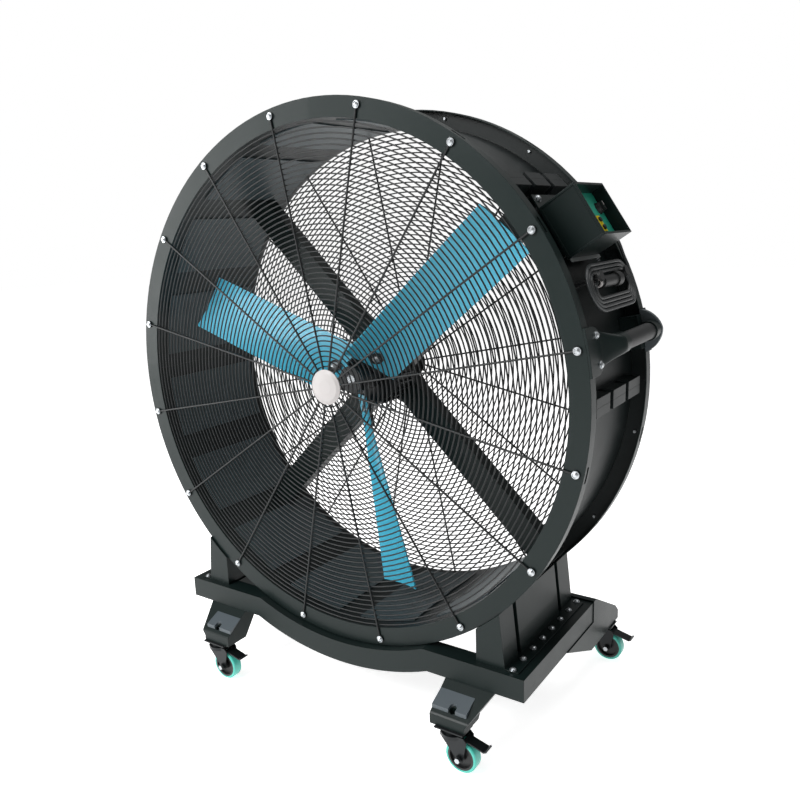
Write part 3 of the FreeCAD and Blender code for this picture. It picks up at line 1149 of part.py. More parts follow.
def fan_parts():
    """Every piece of the fan, by name."""
    ring = front_ring()
    grille = front_grille()
    one_blade = blade()
    step = 360.0 / BLADE_COUNT
    rail = side_rail()
    post = pedestal()
    front_bar = base_front_bar()
    parts = {"front_ring": ring, "rear_ring": reversed_drum(ring), "drum_panels": drum_panels(),
             "front_grille": grille, "rear_grille": reversed_drum(grille), "grille_cap": grille_cap(),
             "grille_bolts": grille_bolts(), "support_cross": support_cross(), "motor_plate": motor_plate(),
             "motor_housing": motor_housing(), "motor_stator": motor_stator(), "motor_bearings": motor_bearings(),
             "motor_shaft": motor_shaft(), "rotor_hub": rotor_hub(), "blade_bolts": blade_bolts(),
             "control_box": control_box(), "control_box_bracket": control_box_bracket(),
             "control_panel": control_panel(), "key_plate": key_plate(), "speed_knob": speed_knob(),
             "cord_gland": cord_gland(),
             "power_cord": power_cord(), "mains_plug": mains_plug(), "cord_pegs": cord_pegs(),
             "handle_front_plate": handle_plate(FRONT_Y, HANDLE_FRONT_LENGTH, HANDLE_FRONT_BOLT_INSET),
             "handle_rear_plate": handle_plate(REAR_Y, -HANDLE_REAR_LENGTH, HANDLE_REAR_BOLT_INSET),
             "handle_grip": handle_grip(), "base_front_bar": front_bar,
             "base_rear_bar": reversed_drum(front_bar), "right_rail": rail, "left_rail": mirrored(rail),
             "right_pedestal": post, "left_pedestal": mirrored(post), "frame_bolts": frame_bolts()}
    for k in range(BLADE_COUNT):
        parts["blade_%d" % (k + 1)] = turned(one_blade, BLADE_FIRST_ANGLE + k * step)
    for name, across in BUTTON_PLACES:
        parts[name] = push_button(across)
    right_rear = rear_boot()
    boots = {"front_right": front_boot(1), "front_left": front_boot(-1), "rear_right": right_rear,
             "rear_left": mirrored(right_rear)}
    pieces = {"fork": caster_fork(), "wheel": wheel_core(), "tread": wheel_tread(), "brake_pedal": brake_pedal()}
    tops = []
    for corner, place in caster_places().items():
        parts[corner + "_boot"] = boots[corner]
        tops.append(moved(caster_top(), place))
        for name, piece in pieces.items():
            parts[corner + "_" + name] = moved(piece, place)
    parts["caster_plates"] = Part.makeCompound(tops)
    return parts


os.makedirs("parts", exist_ok=True)
for part_name, part_shape in fan_parts().items():
    part_shape.exportStep("parts/" + part_name + ".step")
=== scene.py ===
"""Looks of the mobile drum fan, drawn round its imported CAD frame.

Metres; the floor is at z = 0 and the front looks towards -Y.
"""
import json
import math

import bpy
from mathutils import Matrix, Vector


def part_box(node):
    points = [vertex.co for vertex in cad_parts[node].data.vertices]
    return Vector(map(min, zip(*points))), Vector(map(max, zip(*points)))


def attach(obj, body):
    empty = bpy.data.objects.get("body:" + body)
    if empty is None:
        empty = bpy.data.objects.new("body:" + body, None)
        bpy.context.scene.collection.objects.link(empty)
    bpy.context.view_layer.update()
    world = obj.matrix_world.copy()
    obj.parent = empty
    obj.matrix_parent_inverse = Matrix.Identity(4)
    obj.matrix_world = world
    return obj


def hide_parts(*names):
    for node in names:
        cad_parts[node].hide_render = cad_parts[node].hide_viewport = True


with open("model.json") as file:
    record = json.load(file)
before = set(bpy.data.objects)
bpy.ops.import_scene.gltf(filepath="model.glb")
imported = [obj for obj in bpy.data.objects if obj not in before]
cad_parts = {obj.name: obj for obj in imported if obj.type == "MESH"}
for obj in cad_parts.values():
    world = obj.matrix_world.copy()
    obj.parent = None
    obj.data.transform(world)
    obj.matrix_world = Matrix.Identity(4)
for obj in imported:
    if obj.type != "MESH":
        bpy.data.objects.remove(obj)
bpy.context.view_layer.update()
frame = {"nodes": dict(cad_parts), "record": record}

bl_info = {
    "name": "Mobile drum fan",
    "version": (1, 0, 0),
    "blender": (4, 5, 0),
    "location": "3D View > Sidebar > Drum fan",
    "description": "Draws a mobile drum fan on its CAD frame",
    "category": "Object",
}

# Sizes shared with the CAD part: lengths in metres, angles in degrees
AXIS_HEIGHT = 1.022
RING_INNER_R = 0.744
RING_OUTER_R = 0.800
FRONT_Y = -0.229
BOLT_R = 0.779
BOLT_COUNT = 16
BLADE_COUNT = 3
BOX_ANGLE = 33.0
BOX_REAR_Y = 0.095
GLAND_LENGTH = 0.018
COIL_ANGLE = 21.0
COIL_PLANE_R = 0.815
COIL_HALF_RUN = 0.095
COIL_FIRST_R = 0.064
COIL_PITCH = 0.0105
COIL_TURNS = 3
COIL_LAST_R = 0.020
LEAD_BEND_R = 0.037
LEAD_HEIGHT = 0.126
WALL_OUTER_R = 0.750

# Small screws on the drum's wall beside the coil: angle in degrees, place along the drum
WALL_SCREWS = ((27.0, 0.158), (16.6, 0.167), (16.6, 0.205))

# Small trim, in metres
AXLE_NUT_R = 0.008
AXLE_NUT_HEIGHT = 0.001
POINTER_HEIGHT = 0.0006
POINTER_WIDTH = 0.003
POINTER_LENGTH = 0.012

# How far a step is sunk into its boot
STEP_EMBED = 0.001

# How finely round shapes are drawn
GUARD_RING_STEPS = 96
PLUG_RING_STEPS = 32
NOTCH_STEPS = 12
FAIRING_STATIONS = 16

# Edges of a fairing that bend by more degrees than this stay sharp
SHARP_ANGLE = 40.0

# A spoke starts inside the hub plate, at this share of the plate's radius
SPOKE_START = 0.8

# Roughness changes over blotches of about 110 mm
MOTTLE_SCALE = 9.0
MM_PER_M = 1000.0
WHITE = (1.0, 1.0, 1.0, 1.0)

# Lamps: name, place, side of the square in metres, power in watts
LAMPS = (("Key", (-1.6, -3.8, 4.2), 2.5, 270.0),
         ("Window", (-4.6, -3.4, 1.7), 3.0, 170.0),
         ("Top", (0.4, 0.6, 4.6), 4.0, 110.0))
LAMP_AIM = (0.0, 0.0, 0.9)

# Width of the camera's sensor, in millimetres
SENSOR_WIDTH = 36.0


class FanGuardSettings(bpy.types.PropertyGroup):
    """The wire guards on both sides of the drum."""
    ring_pitch: bpy.props.FloatProperty(
        name="Ring pitch", description="Distance between neighbouring wire rings", default=0.015,
        unit="LENGTH")
    first_ring: bpy.props.FloatProperty(
        name="First ring", description="Radius of the innermost wire ring", default=0.060, unit="LENGTH")
    last_ring: bpy.props.FloatProperty(
        name="Last ring", description="Radius of the outermost wire ring", default=0.735, unit="LENGTH")
    ring_wire: bpy.props.FloatProperty(
        name="Ring wire", description="Diameter of the ring wire", default=0.0045, unit="LENGTH")
    spoke_wire: bpy.props.FloatProperty(
        name="Spoke wire", description="Diameter of the spoke wire", default=0.006, unit="LENGTH")
    hub_radius: bpy.props.FloatProperty(
        name="Hub radius", description="Radius of the plate in the guard's middle", default=0.046,
        unit="LENGTH")
    eyelet_radius: bpy.props.FloatProperty(
        name="Eyelet radius", description="Radius of the flattened end of a spoke", default=0.011,
        unit="LENGTH")
    eyelet_height: bpy.props.FloatProperty(
        name="Eyelet height", description="Thickness of the flattened end", default=0.004, unit="LENGTH")


class FanCordSettings(bpy.types.PropertyGroup):
    """The mains cord on its two pegs."""
    diameter: bpy.props.FloatProperty(
        name="Diameter", description="Outer diameter of the jacket", default=0.009, unit="LENGTH")
    arc_step: bpy.props.FloatProperty(
        name="Arc step", description="Angle between route points on a bend", default=math.radians(7.5),
        subtype="ANGLE")
    ring_radius: bpy.props.FloatProperty(
        name="Ring radius", description="Radius of the pale ring on the plug's cable end", default=0.0095,
        unit="LENGTH")
    ring_wire: bpy.props.FloatProperty(
        name="Ring thickness", description="Thickness of the pale ring", default=0.007, unit="LENGTH")


class FanBootSettings(bpy.types.PropertyGroup):
    """The raised steps on the front boots."""
    step_width: bpy.props.FloatProperty(
        name="Step width", description="Width of a step from the boot's inner side", default=0.109,
        unit="LENGTH")
    step_front: bpy.props.FloatProperty(
        name="Step front", description="Distance of a step's front edge behind the nose", default=0.0135,
        unit="LENGTH")
    step_back: bpy.props.FloatProperty(
        name="Step back", description="Distance of a step's back edge behind the nose", default=0.066,
        unit="LENGTH")
    step_rise: bpy.props.FloatProperty(
        name="Step rise", description="How far a step's front edge stands over the boot", default=0.012,
        unit="LENGTH")
    notch_side: bpy.props.FloatProperty(
        name="Notch place", description="Distance of the notch from the fan's middle", default=0.456,
        unit="LENGTH")
    notch_radius: bpy.props.FloatProperty(
        name="Notch radius", description="Radius of the notch in a step's front edge", default=0.011,
        unit="LENGTH")
    notch_depth: bpy.props.FloatProperty(
        name="Notch depth", description="Depth of the notch from the front edge", default=0.020,
        unit="LENGTH")
    lip_height: bpy.props.FloatProperty(
        name="Lip height", description="Height of the boot's nose over its underside", default=0.030,
        unit="LENGTH")


class FanHandleSettings(bpy.types.PropertyGroup):
    """The fairings that join the handle's plates to its grip."""
    angle: bpy.props.FloatProperty(
        name="Angle", description="Place of the handle round the drum, in degrees", default=10.5)
    base_radius: bpy.props.FloatProperty(
        name="Base radius", description="Radius of the fairings' underside", default=RING_OUTER_R,
        unit="LENGTH")
    socket_length: bpy.props.FloatProperty(
        name="Socket length", description="Length of the socket between a fairing and the grip",
        default=0.036, unit="LENGTH")
    neck_width: bpy.props.FloatProperty(
        name="Neck width", description="Half the front fairing's width at its socket", default=0.029,
        unit="LENGTH")
    neck_height: bpy.props.FloatProperty(
        name="Neck height", description="Height of a fairing at its socket", default=0.054, unit="LENGTH")
    front_start: bpy.props.FloatProperty(
        name="Front start", description="Where the front fairing rises from its plate", default=-0.157,
        unit="LENGTH")
    front_width: bpy.props.FloatProperty(
        name="Front width", description="Half the front fairing's width where it starts", default=0.045,
        unit="LENGTH")
    plate_height: bpy.props.FloatProperty(
        name="Plate height", description="Height of the plate over the fairings' underside", default=0.006,
        unit="LENGTH")
    rear_end: bpy.props.FloatProperty(
        name="Rear end", description="Where the rear fairing ends at the rim", default=0.226, unit="LENGTH")
    rear_width: bpy.props.FloatProperty(
        name="Rear width", description="Half the rear fairing's width", default=0.058, unit="LENGTH")
    front_fullness: bpy.props.FloatProperty(
        name="Front fullness", description="How square the front fairing is; 2 is an ellipse", default=3.0)
    rear_fullness: bpy.props.FloatProperty(
        name="Rear fullness", description="How square the rear fairing is; 2 is an ellipse", default=1.7)


class FanStageSettings(bpy.types.PropertyGroup):
    """Camera, light and floor."""
    lens: bpy.props.FloatProperty(
        name="Lens", description="Focal length on a 36 mm sensor, in millimetres", default=35.72)
    camera_place: bpy.props.FloatVectorProperty(
        name="Camera", description="Where the camera stands", default=(1.4534, -1.9851, 1.4856),
        subtype="TRANSLATION", unit="LENGTH")
    camera_aim: bpy.props.FloatVectorProperty(
        name="Aim", description="The point in the middle of the view", default=(0.0977, 0.0, 0.9447),
        subtype="TRANSLATION", unit="LENGTH")
    camera_roll: bpy.props.FloatProperty(
        name="Roll", description="Turn of the camera about its view", default=math.radians(-2.087),
        subtype="ANGLE")
    room_light: bpy.props.FloatProperty(
        name="Room light", description="Strength of the even light from all round", default=0.24)
    floor_glow: bpy.props.FloatProperty(
        name="Floor glow", description="Light that the pale floor gives off by itself", default=0.80)
    floor_size: bpy.props.FloatProperty(
        name="Floor size", description="Side of the floor", default=40.0, unit="LENGTH")


class FanDrumSettings(bpy.types.PropertyGroup):
    """The moulded pads inside the drum and the screws on its wall."""
    pad_angle: bpy.props.FloatProperty(
        name="Pad angle", description="Angle that a pad takes up round the drum",
        default=math.radians(16.0), subtype="ANGLE")
    pad_front: bpy.props.FloatProperty(
        name="Pad front", description="Front end of a pad along the drum", default=-0.180, unit="LENGTH")
    pad_rear: bpy.props.FloatProperty(
        name="Pad rear", description="Rear end of a pad along the drum", default=0.200, unit="LENGTH")
    pad_height: bpy.props.FloatProperty(
        name="Pad height", description="How far a pad stands into the drum", default=0.004, unit="LENGTH")
    screw_radius: bpy.props.FloatProperty(
        name="Screw radius", description="Radius of a screw's head on the wall", default=0.005,
        unit="LENGTH")
    screw_height: bpy.props.FloatProperty(
        name="Screw height", description="Height of a screw's head", default=0.003, unit="LENGTH")


class FanRotorSettings(bpy.types.PropertyGroup):
    """The blade bolts' washers."""
    first_angle: bpy.props.FloatProperty(
        name="First angle", description="Angle of the first blade, in degrees", default=41.0)
    root_pitch: bpy.props.FloatProperty(
        name="Root pitch", description="Pitch of the blade's root, in degrees", default=46.0)
    blade_plane: bpy.props.FloatProperty(
        name="Blade plane", description="Middle of the blades along the fan axis", default=-0.080,
        unit="LENGTH")
    bolt_radius: bpy.props.FloatProperty(
        name="Bolt radius", description="Distance of a blade bolt from the fan axis", default=0.096,
        unit="LENGTH")
    washer_lift: bpy.props.FloatProperty(
        name="Washer lift", description="Height of the washer's underside over the blade's chord plane",
        default=-0.0018, unit="LENGTH")
    washer_radius: bpy.props.FloatProperty(
        name="Washer radius", description="Radius of the rubber washer", default=0.0225, unit="LENGTH")
    washer_height: bpy.props.FloatProperty(
        name="Washer height", description="Thickness of the rubber face", default=0.0012, unit="LENGTH")


class FanBoxSettings(bpy.types.PropertyGroup):
    """The control box's trim."""
    front_y: bpy.props.FloatProperty(
        name="Front", description="The box's front face along the drum", default=-0.100, unit="LENGTH")
    width: bpy.props.FloatProperty(
        name="Width", description="The box's size round the drum", default=0.150, unit="LENGTH")
    base_radius: bpy.props.FloatProperty(
        name="Base radius", description="Radius of the box's base", default=0.772, unit="LENGTH")
    top_radius: bpy.props.FloatProperty(
        name="Top radius", description="Radius of the box's outer edge", default=0.880, unit="LENGTH")
    frame_width: bpy.props.FloatProperty(
        name="Frame width", description="Width of the frame on the box's front", default=0.006,
        unit="LENGTH")
    frame_height: bpy.props.FloatProperty(
        name="Frame height", description="How far the frame stands out", default=0.002, unit="LENGTH")
    lip_width: bpy.props.FloatProperty(
        name="Lip width", description="How far the lip under the box stands out", default=0.010,
        unit="LENGTH")
    lip_height: bpy.props.FloatProperty(
        name="Lip height", description="Thickness of the lip under the box", default=0.005, unit="LENGTH")
    knob_place: bpy.props.FloatVectorProperty(
        name="Knob place", description="The knob along the drum and round it", default=(0.068, 0.020),
        size=2, unit="LENGTH")
    knob_top: bpy.props.FloatProperty(
        name="Knob top", description="Radius of the knob's outer face", default=0.8633, unit="LENGTH")


class FanSettings(bpy.types.PropertyGroup):
    """All settings of the fan."""
    guard: bpy.props.PointerProperty(
        type=FanGuardSettings, name="Guards", description="The wire guards")
    cord: bpy.props.PointerProperty(
        type=FanCordSettings, name="Cord", description="The mains cord")
    drum: bpy.props.PointerProperty(
        type=FanDrumSettings, name="Drum", description="The drum's pads and screws")
    rotor: bpy.props.PointerProperty(
        type=FanRotorSettings, name="Rotor", description="The blade washers")
    box: bpy.props.PointerProperty(
        type=FanBoxSettings, name="Box", description="The control box's trim")
    handle: bpy.props.PointerProperty(
        type=FanHandleSettings, name="Handle", description="The handle's fairings")
    boot: bpy.props.PointerProperty(
        type=FanBootSettings, name="Boots", description="The front boots' steps")
    stage: bpy.props.PointerProperty(
        type=FanStageSettings, name="Stage", description="Camera, light and floor")


# Materials

def linear(hex_color):
    """A six-digit sRGB colour as linear red, green, blue and alpha."""
    values = [int(hex_color[k:k + 2], 16) / 255 for k in (1, 3, 5)]
    steps = [v / 12.92 if v <= 0.04045 else ((v + 0.055) / 1.055) ** 2.4 for v in values]
    return (steps[0], steps[1], steps[2], 1.0)


def add_node(owner, kind, **inputs):
    """A new shader node in a material or a world, with some of its sockets set."""
    node = owner.node_tree.nodes.new(kind)
    for name, value in inputs.items():
        node.inputs[name.replace("_", " ")].default_value = value
    return node


def surface(name, hex_color, roughness, metallic=0.0, coat=0.0, grain_mm=1.0, grain=0.0, mottle=0.0,
            shine=0.5, edge_mm=0.0):
    """A material with one base colour.

    grain is a fine bump of the size grain_mm, mottle a slow change of roughness, and edge_mm eases the edges
    of a material that has grain.
    """
    material = bpy.data.materials.new(name)
    material.use_nodes = True
    shader = material.node_tree.nodes["Principled BSDF"]
    shader.inputs["Base Color"].default_value = linear(hex_color)
    shader.inputs["Roughness"].default_value = roughness
    shader.inputs["Metallic"].default_value = metallic
    shader.inputs["Coat Weight"].default_value = coat
    shader.inputs["Specular IOR Level"].default_value = shine
    material.diffuse_color = linear(hex_color)
    links = material.node_tree.links
    if grain or mottle:
        place = add_node(material, "ShaderNodeTexCoord")
    if grain:
        noise = add_node(material, "ShaderNodeTexNoise", Scale=MM_PER_M / grain_mm, Detail=2.0)
        # The grain is a quarter as deep as it is wide
        bump = add_node(material, "ShaderNodeBump", Strength=grain, Distance=grain_mm / MM_PER_M / 4)
        links.new(place.outputs["Object"], noise.inputs["Vector"])
        links.new(noise.outputs["Fac"], bump.inputs["Height"])
        links.new(bump.outputs["Normal"], shader.inputs["Normal"])
        if edge_mm:
            eased = add_node(material, "ShaderNodeBevel", Radius=edge_mm / MM_PER_M)
            links.new(eased.outputs["Normal"], bump.inputs["Normal"])
    if mottle:
        cloud = add_node(material, "ShaderNodeTexNoise", Scale=MOTTLE_SCALE, Detail=3.0)
        span = add_node(material, "ShaderNodeMapRange", To_Min=roughness - mottle, To_Max=roughness + mottle)
        links.new(place.outputs["Object"], cloud.inputs["Vector"])
        links.new(cloud.outputs["Fac"], span.inputs["Value"])
        links.new(span.outputs["Result"], shader.inputs["Roughness"])
    return material


def make_materials():
    """Every material by the record's slot that it finishes."""
    return {
        # Dark and faintly green, with the soft sheen and orange peel of powder coat
        "charcoal_powder_coat": surface("Powder-coated sheet steel", "#101a19", 0.38, coat=0.05,
                                        grain_mm=2.2, grain=0.25, mottle=0.07, shine=0.18, edge_mm=2.0),
        # The same dark tone as the steel, a little duller
        "charcoal_moulding": surface("Moulded charcoal plastic", "#121818", 0.44,
                                     grain_mm=1.6, grain=0.2, mottle=0.06, shine=0.25, edge_mm=2.0),
        # Nearly black, with a narrow highlight along each wire
        "black_wire": surface("Dip-coated steel wire", "#0d1011", 0.42, shine=0.35),
        # Pale and plain, with a satin sheen
        "grey_cap": surface("Moulded grey plastic", "#a19d9c", 0.42, grain_mm=1.0, grain=0.06),
        # Small bright heads that catch the light
        "zinc_steel": surface("Zinc-plated steel", "#b9bdc0", 0.30,
                              metallic=0.9, grain_mm=0.8, grain=0.1, mottle=0.08),
        # Black plating with a soft metal sheen
        "black_steel": surface("Black-plated steel pressing", "#1a1d1f", 0.33,
                               metallic=0.5, grain_mm=1.2, grain=0.1),
        # Clear sky blue with an even, semi-gloss film
        "blue_blade_paint": surface("Painted aluminium blade", "#45aecb", 0.36,
                                    coat=0.15, grain_mm=3.0, grain=0.08, mottle=0.05),
        # Deep black that keeps the motor in the shade
        "black_motor_paint": surface("Painted cast motor", "#1b1e20", 0.45, grain_mm=1.6, grain=0.3),
        # Bare metal with a sharp sheen
        "turned_steel": surface("Turned steel", "#a6aaad", 0.25, metallic=1.0),
        # Dull brown-grey inside the motor
        "stator_iron": surface("Varnished iron laminations", "#4b4643", 0.6, metallic=0.4),
        # The only green on the box, matt so that it reads as a colour
        "green_panel": surface("Moulded green plastic", "#229078", 0.45),
        # Matt black with a fine moulded grain
        "black_plastic": surface("Moulded black nylon", "#141617", 0.5, grain_mm=0.9, grain=0.15),
        # Bright warning yellow, glossy
        "yellow_plate": surface("Glossy yellow plastic", "#e0c41e", 0.25),
        # Soft black jacket
        "black_cord": surface("Extruded rubber jacket", "#2a2d2e", 0.40, grain_mm=0.7, grain=0.12),
        # Soft dark sleeve for the hand
        "black_grip": surface("Rubber sleeve", "#17191a", 0.55, grain_mm=1.2, grain=0.2),
        # Teal with a slight gloss, as cast polyurethane
        "teal_tread": surface("Cast polyurethane tread", "#46b3a3", 0.33, coat=0.1),
    }


def painted(slot):
    """The material that a slot's first CAD piece already has."""
    for part in frame["record"]["subparts"]:
        if part["material_slot"] == slot:
            return frame["nodes"][part["node"]].data.materials[0]
    raise RuntimeError("no piece has the slot " + slot)


# Shapes

def around(radius, angle, y):
    """A point round the fan axis; the angle is in degrees, counter-clockwise seen from the front."""
    turn = math.radians(angle)
    return Vector((radius * math.cos(turn), y, AXIS_HEIGHT + radius * math.sin(turn)))


def on_side(angle, radius, y, across):
    """A point on the drum's side: outwards at an angle, along y, and across it upwards."""
    turn = math.radians(angle)
    return Vector((radius * math.cos(turn) - across * math.sin(turn), y,
                   AXIS_HEIGHT + radius * math.sin(turn) + across * math.cos(turn)))


def keep(obj, body, material, replaced=()):
    """Link an object, give it its material, and let it move with its body."""
    bpy.context.scene.collection.objects.link(obj)
    obj.data.materials.append(material)
    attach(obj, body)
    if replaced:
        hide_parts(*replaced)
    return obj


def wire_curve(name, lines, diameter):
    """Round wires along straight or closed lines, each given as (points, closed)."""
    curve = bpy.data.curves.new(name, "CURVE")
    curve.dimensions = "3D"
    curve.bevel_depth = diameter / 2
    curve.bevel_resolution = 1
    curve.use_fill_caps = True
    for points, closed in lines:
        spline = curve.splines.new("POLY")
        spline.points.add(len(points) - 1)
        for spot, point in zip(spline.points, points):
            spot.co = (point.x, point.y, point.z, 1.0)
        spline.use_cyclic_u = closed
        spline.use_smooth = True
    return bpy.data.objects.new(name, curve)


def mesh_object(name, points, faces):
    """An object with a mesh of the given points and faces."""
    mesh = bpy.data.meshes.new(name)
    mesh.from_pydata(points, [], faces)
    return bpy.data.objects.new(name, mesh)


def ease(obj, width, segments):
    """Round an object's edges a little."""
    eased = obj.modifiers.new("Eased edges", "BEVEL")
    eased.width = width
    eased.segments = segments
    return obj


def prism_faces(start, count):
    """The faces between a lower ring of points and an upper one that follows it, seen from outside."""
    faces = [[start + k for k in reversed(range(count))], [start + count + k for k in range(count)]]
    for k in range(count):
        other = (k + 1) % count
        faces.append([start + k, start + other, start + count + other, start + count + k])
    return faces


def disc_mesh(name, discs, sides=32):
    """Flat round discs along Y, each given as (centre, radius, thickness)."""
    points = []
    faces = []
    for centre, radius, thickness in discs:
        start = len(points)
        for depth in (-thickness / 2, thickness / 2):
            for k in range(sides):
                turn = 2 * math.pi * k / sides
                points.append(centre + Vector((radius * math.cos(turn), depth, radius * math.sin(turn))))
        # The ring runs the other way round about +Y, so its faces are turned over
        faces += [face[::-1] for face in prism_faces(start, sides)]
    return mesh_object(name, points, faces)


def side_blocks(name, blocks, bevel=0.0015):
    """Eased blocks on the drum's side.

    Each is given as (angle, low radius, high radius, low y, high y, low across, high across).
    """
    points = []
    faces = []
    for angle, r0, r1, y0, y1, low, high in blocks:
        start = len(points)
        for radius in (r0, r1):
            for y in (y0, y1):
                for across in (low, high):
                    points.append(on_side(angle, radius, y, across))
        for quad in ((0, 1, 3, 2), (4, 6, 7, 5), (0, 4, 5, 1), (2, 3, 7, 6), (0, 2, 6, 4), (1, 5, 7, 3)):
            faces.append([start + k for k in quad])
    return ease(mesh_object(name, points, faces), bevel, segments=2)


def arc_plates(name, angles, span, r0, r1, y0, y1, steps=10):
    """Plates that follow the drum's wall, each centred on an angle in degrees."""
    points = []
    faces = []
    for angle in angles:
        start = len(points)
        for k in range(steps + 1):
            turn = angle + span * (k / steps - 0.5)
            for radius, y in ((r0, y0), (r0, y1), (r1, y1), (r1, y0)):
                points.append(around(radius, turn, y))
        for k in range(steps):
            low = start + 4 * k
            for j in range(4):
                other = (j + 1) % 4
                faces.append([low + j, low + other, low + 4 + other, low + 4 + j])
        faces.append([start + j for j in reversed(range(4))])
        faces.append([start + 4 * steps + j for j in range(4)])
    return mesh_object(name, points, faces)


def height_on(line, y):
    """The height at y of a straight line through two (y, z) points."""
    (y0, z0), (y1, z1) = line
    return z0 + (z1 - z0) * (y - y0) / (y1 - y0)


def step_plate(name, low_x, high_x, notch, slope, tread, bevel=0.002):
    """A plate on a sloping boot with a round notch in its front edge.

    notch is (middle x, radius, depth). slope is the boot's and tread the plate's upper line, each of two
    (y, z) points.
    """
    middle, radius, depth = notch
    front = tread[0][0]
    back = tread[1][0]
    centre = front + depth - radius
    outline = [(low_x, back), (low_x, front), (middle - radius, front)]
    for k in range(NOTCH_STEPS + 1):
        turn = math.pi * (1 - k / NOTCH_STEPS)
        outline.append((middle + radius * math.cos(turn), centre + radius * math.sin(turn)))
    outline += [(middle + radius, front), (high_x, front), (high_x, back)]
    points = [Vector((x, y, height_on(slope, y) - STEP_EMBED)) for x, y in outline]
    points += [Vector((x, y, height_on(tread, y))) for x, y in outline]
    return ease(mesh_object(name, points, prism_faces(0, len(outline))), bevel, segments=3)


def fairing(name, angle, base, stations, fullness, count=28):
    """A rounded hood on the drum's side, lofted through stations of (y, half-width, height)."""
    points = []
    for y, half_width, height in stations:
        for k in range(count + 1):
            turn = math.pi * k / count
            across = half_width * math.copysign(abs(math.cos(turn)) ** (2 / fullness), math.cos(turn))
            rise = height * math.sin(turn) ** (2 / fullness) if 0 < k < count else 0.0
            points.append(on_side(angle, base + rise, y, across))
    size = count + 1
    faces = [list(range(size)), [len(points) - 1 - k for k in range(size)]]
    for start in range(0, len(points) - size, size):
        for k in range(size):
            other = (k + 1) % size
            faces.append([start + other, start + k, start + size + k, start + size + other])
    hood = mesh_object(name, points, faces)
    hood.data.shade_smooth()
    hood.data.set_sharp_from_angle(angle=math.radians(SHARP_ANGLE))
    return hood


def turned_discs(name, discs, sides=40):
    """Flat round discs, each given as (centre of the lower face, axis, radius, thickness)."""
    points = []
    faces = []
    for centre, axis, radius, thickness in discs:
        start = len(points)
        turn = axis.to_track_quat("Z", "Y")
        for depth in (0.0, thickness):
            for k in range(sides):
                angle = 2 * math.pi * k / sides
                spot = Vector((radius * math.cos(angle), radius * math.sin(angle), depth))
                points.append(centre + turn @ spot)
        faces += prism_faces(start, sides)
    return mesh_object(name, points, faces)


def cord_points(step):
    """The cord's route from its gland, round the coil inwards, to its plug."""
    flat = []

    def line(y, across):
        flat.append((y, across))

    def bend(y, across, radius, start, end):
        count = max(2, math.ceil(abs(end - start) / step))
        for k in range(count + 1):
            turn = start + (end - start) * k / count
            flat.append((y + radius * math.cos(turn), across + radius * math.sin(turn)))

    right = COIL_HALF_RUN + COIL_FIRST_R
    line(BOX_REAR_Y + GLAND_LENGTH, LEAD_HEIGHT)
    bend(right - LEAD_BEND_R, LEAD_HEIGHT - LEAD_BEND_R, LEAD_BEND_R, math.pi / 2, 0)
    bend(COIL_HALF_RUN, 0, COIL_FIRST_R, 0, -math.pi / 2)
    height = -COIL_FIRST_R
    radius = COIL_FIRST_R
    for k in range(COIL_TURNS):
        radius -= COIL_PITCH / 2
        bend(-COIL_HALF_RUN, height + radius, radius, -math.pi / 2, -3 * math.pi / 2)
        height += 2 * radius
        radius -= COIL_PITCH / 2
        bend(COIL_HALF_RUN, height - radius, radius, math.pi / 2, -math.pi / 2)
        height -= 2 * radius
    bend(-COIL_HALF_RUN, height + COIL_LAST_R, COIL_LAST_R, -math.pi / 2, -3 * math.pi / 2)
    height += 2 * COIL_LAST_R
    line(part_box("mains_plug")[0][1], height)
    return [on_side(COIL_ANGLE, COIL_PLANE_R, y, across) for y, across in flat]


def cord_curve(name, points, diameter):
    """A round cord that follows its route points smoothly."""
    curve = bpy.data.curves.new(name, "CURVE")
    curve.dimensions = "3D"
    curve.bevel_depth = diameter / 2
    curve.bevel_resolution = 4
    curve.resolution_u = 4
    curve.use_fill_caps = True
    spline = curve.splines.new("NURBS")
    spline.points.add(len(points) - 1)
    for spot, point in zip(spline.points, points):
        spot.co = (point.x, point.y, point.z, 1.0)
    spline.order_u = 3
    spline.use_endpoint_u = True
    return bpy.data.objects.new(name, curve)


def plug_ring(name, end, radius, wire):
    """The ring round the cord's end, where it enters its plug."""
    out = on_side(COIL_ANGLE, 1, 0, 0) - on_side(COIL_ANGLE, 0, 0, 0)
    up = on_side(COIL_ANGLE, 0, 0, 1) - on_side(COIL_ANGLE, 0, 0, 0)
    middle = end - Vector((0, wire / 2, 0))
    loop = []
    for k in range(PLUG_RING_STEPS):
        turn = 2 * math.pi * k / PLUG_RING_STEPS
        loop.append(middle + radius * (math.cos(turn) * out + math.sin(turn) * up))
    return wire_curve(name, [(loop, True)], wire)


# Operators

class FAN_OT_paint(bpy.types.Operator):
    """Give every CAD piece the material of its slot"""
    bl_idname = "fan.paint"
    bl_label = "Paint the pieces"

    def execute(self, context):
        materials = make_materials()
        for part in frame["record"]["subparts"]:
            node = frame["nodes"][part["node"]]
            node.data.materials.clear()
            node.data.materials.append(materials[part["material_slot"]])
        return {"FINISHED"}


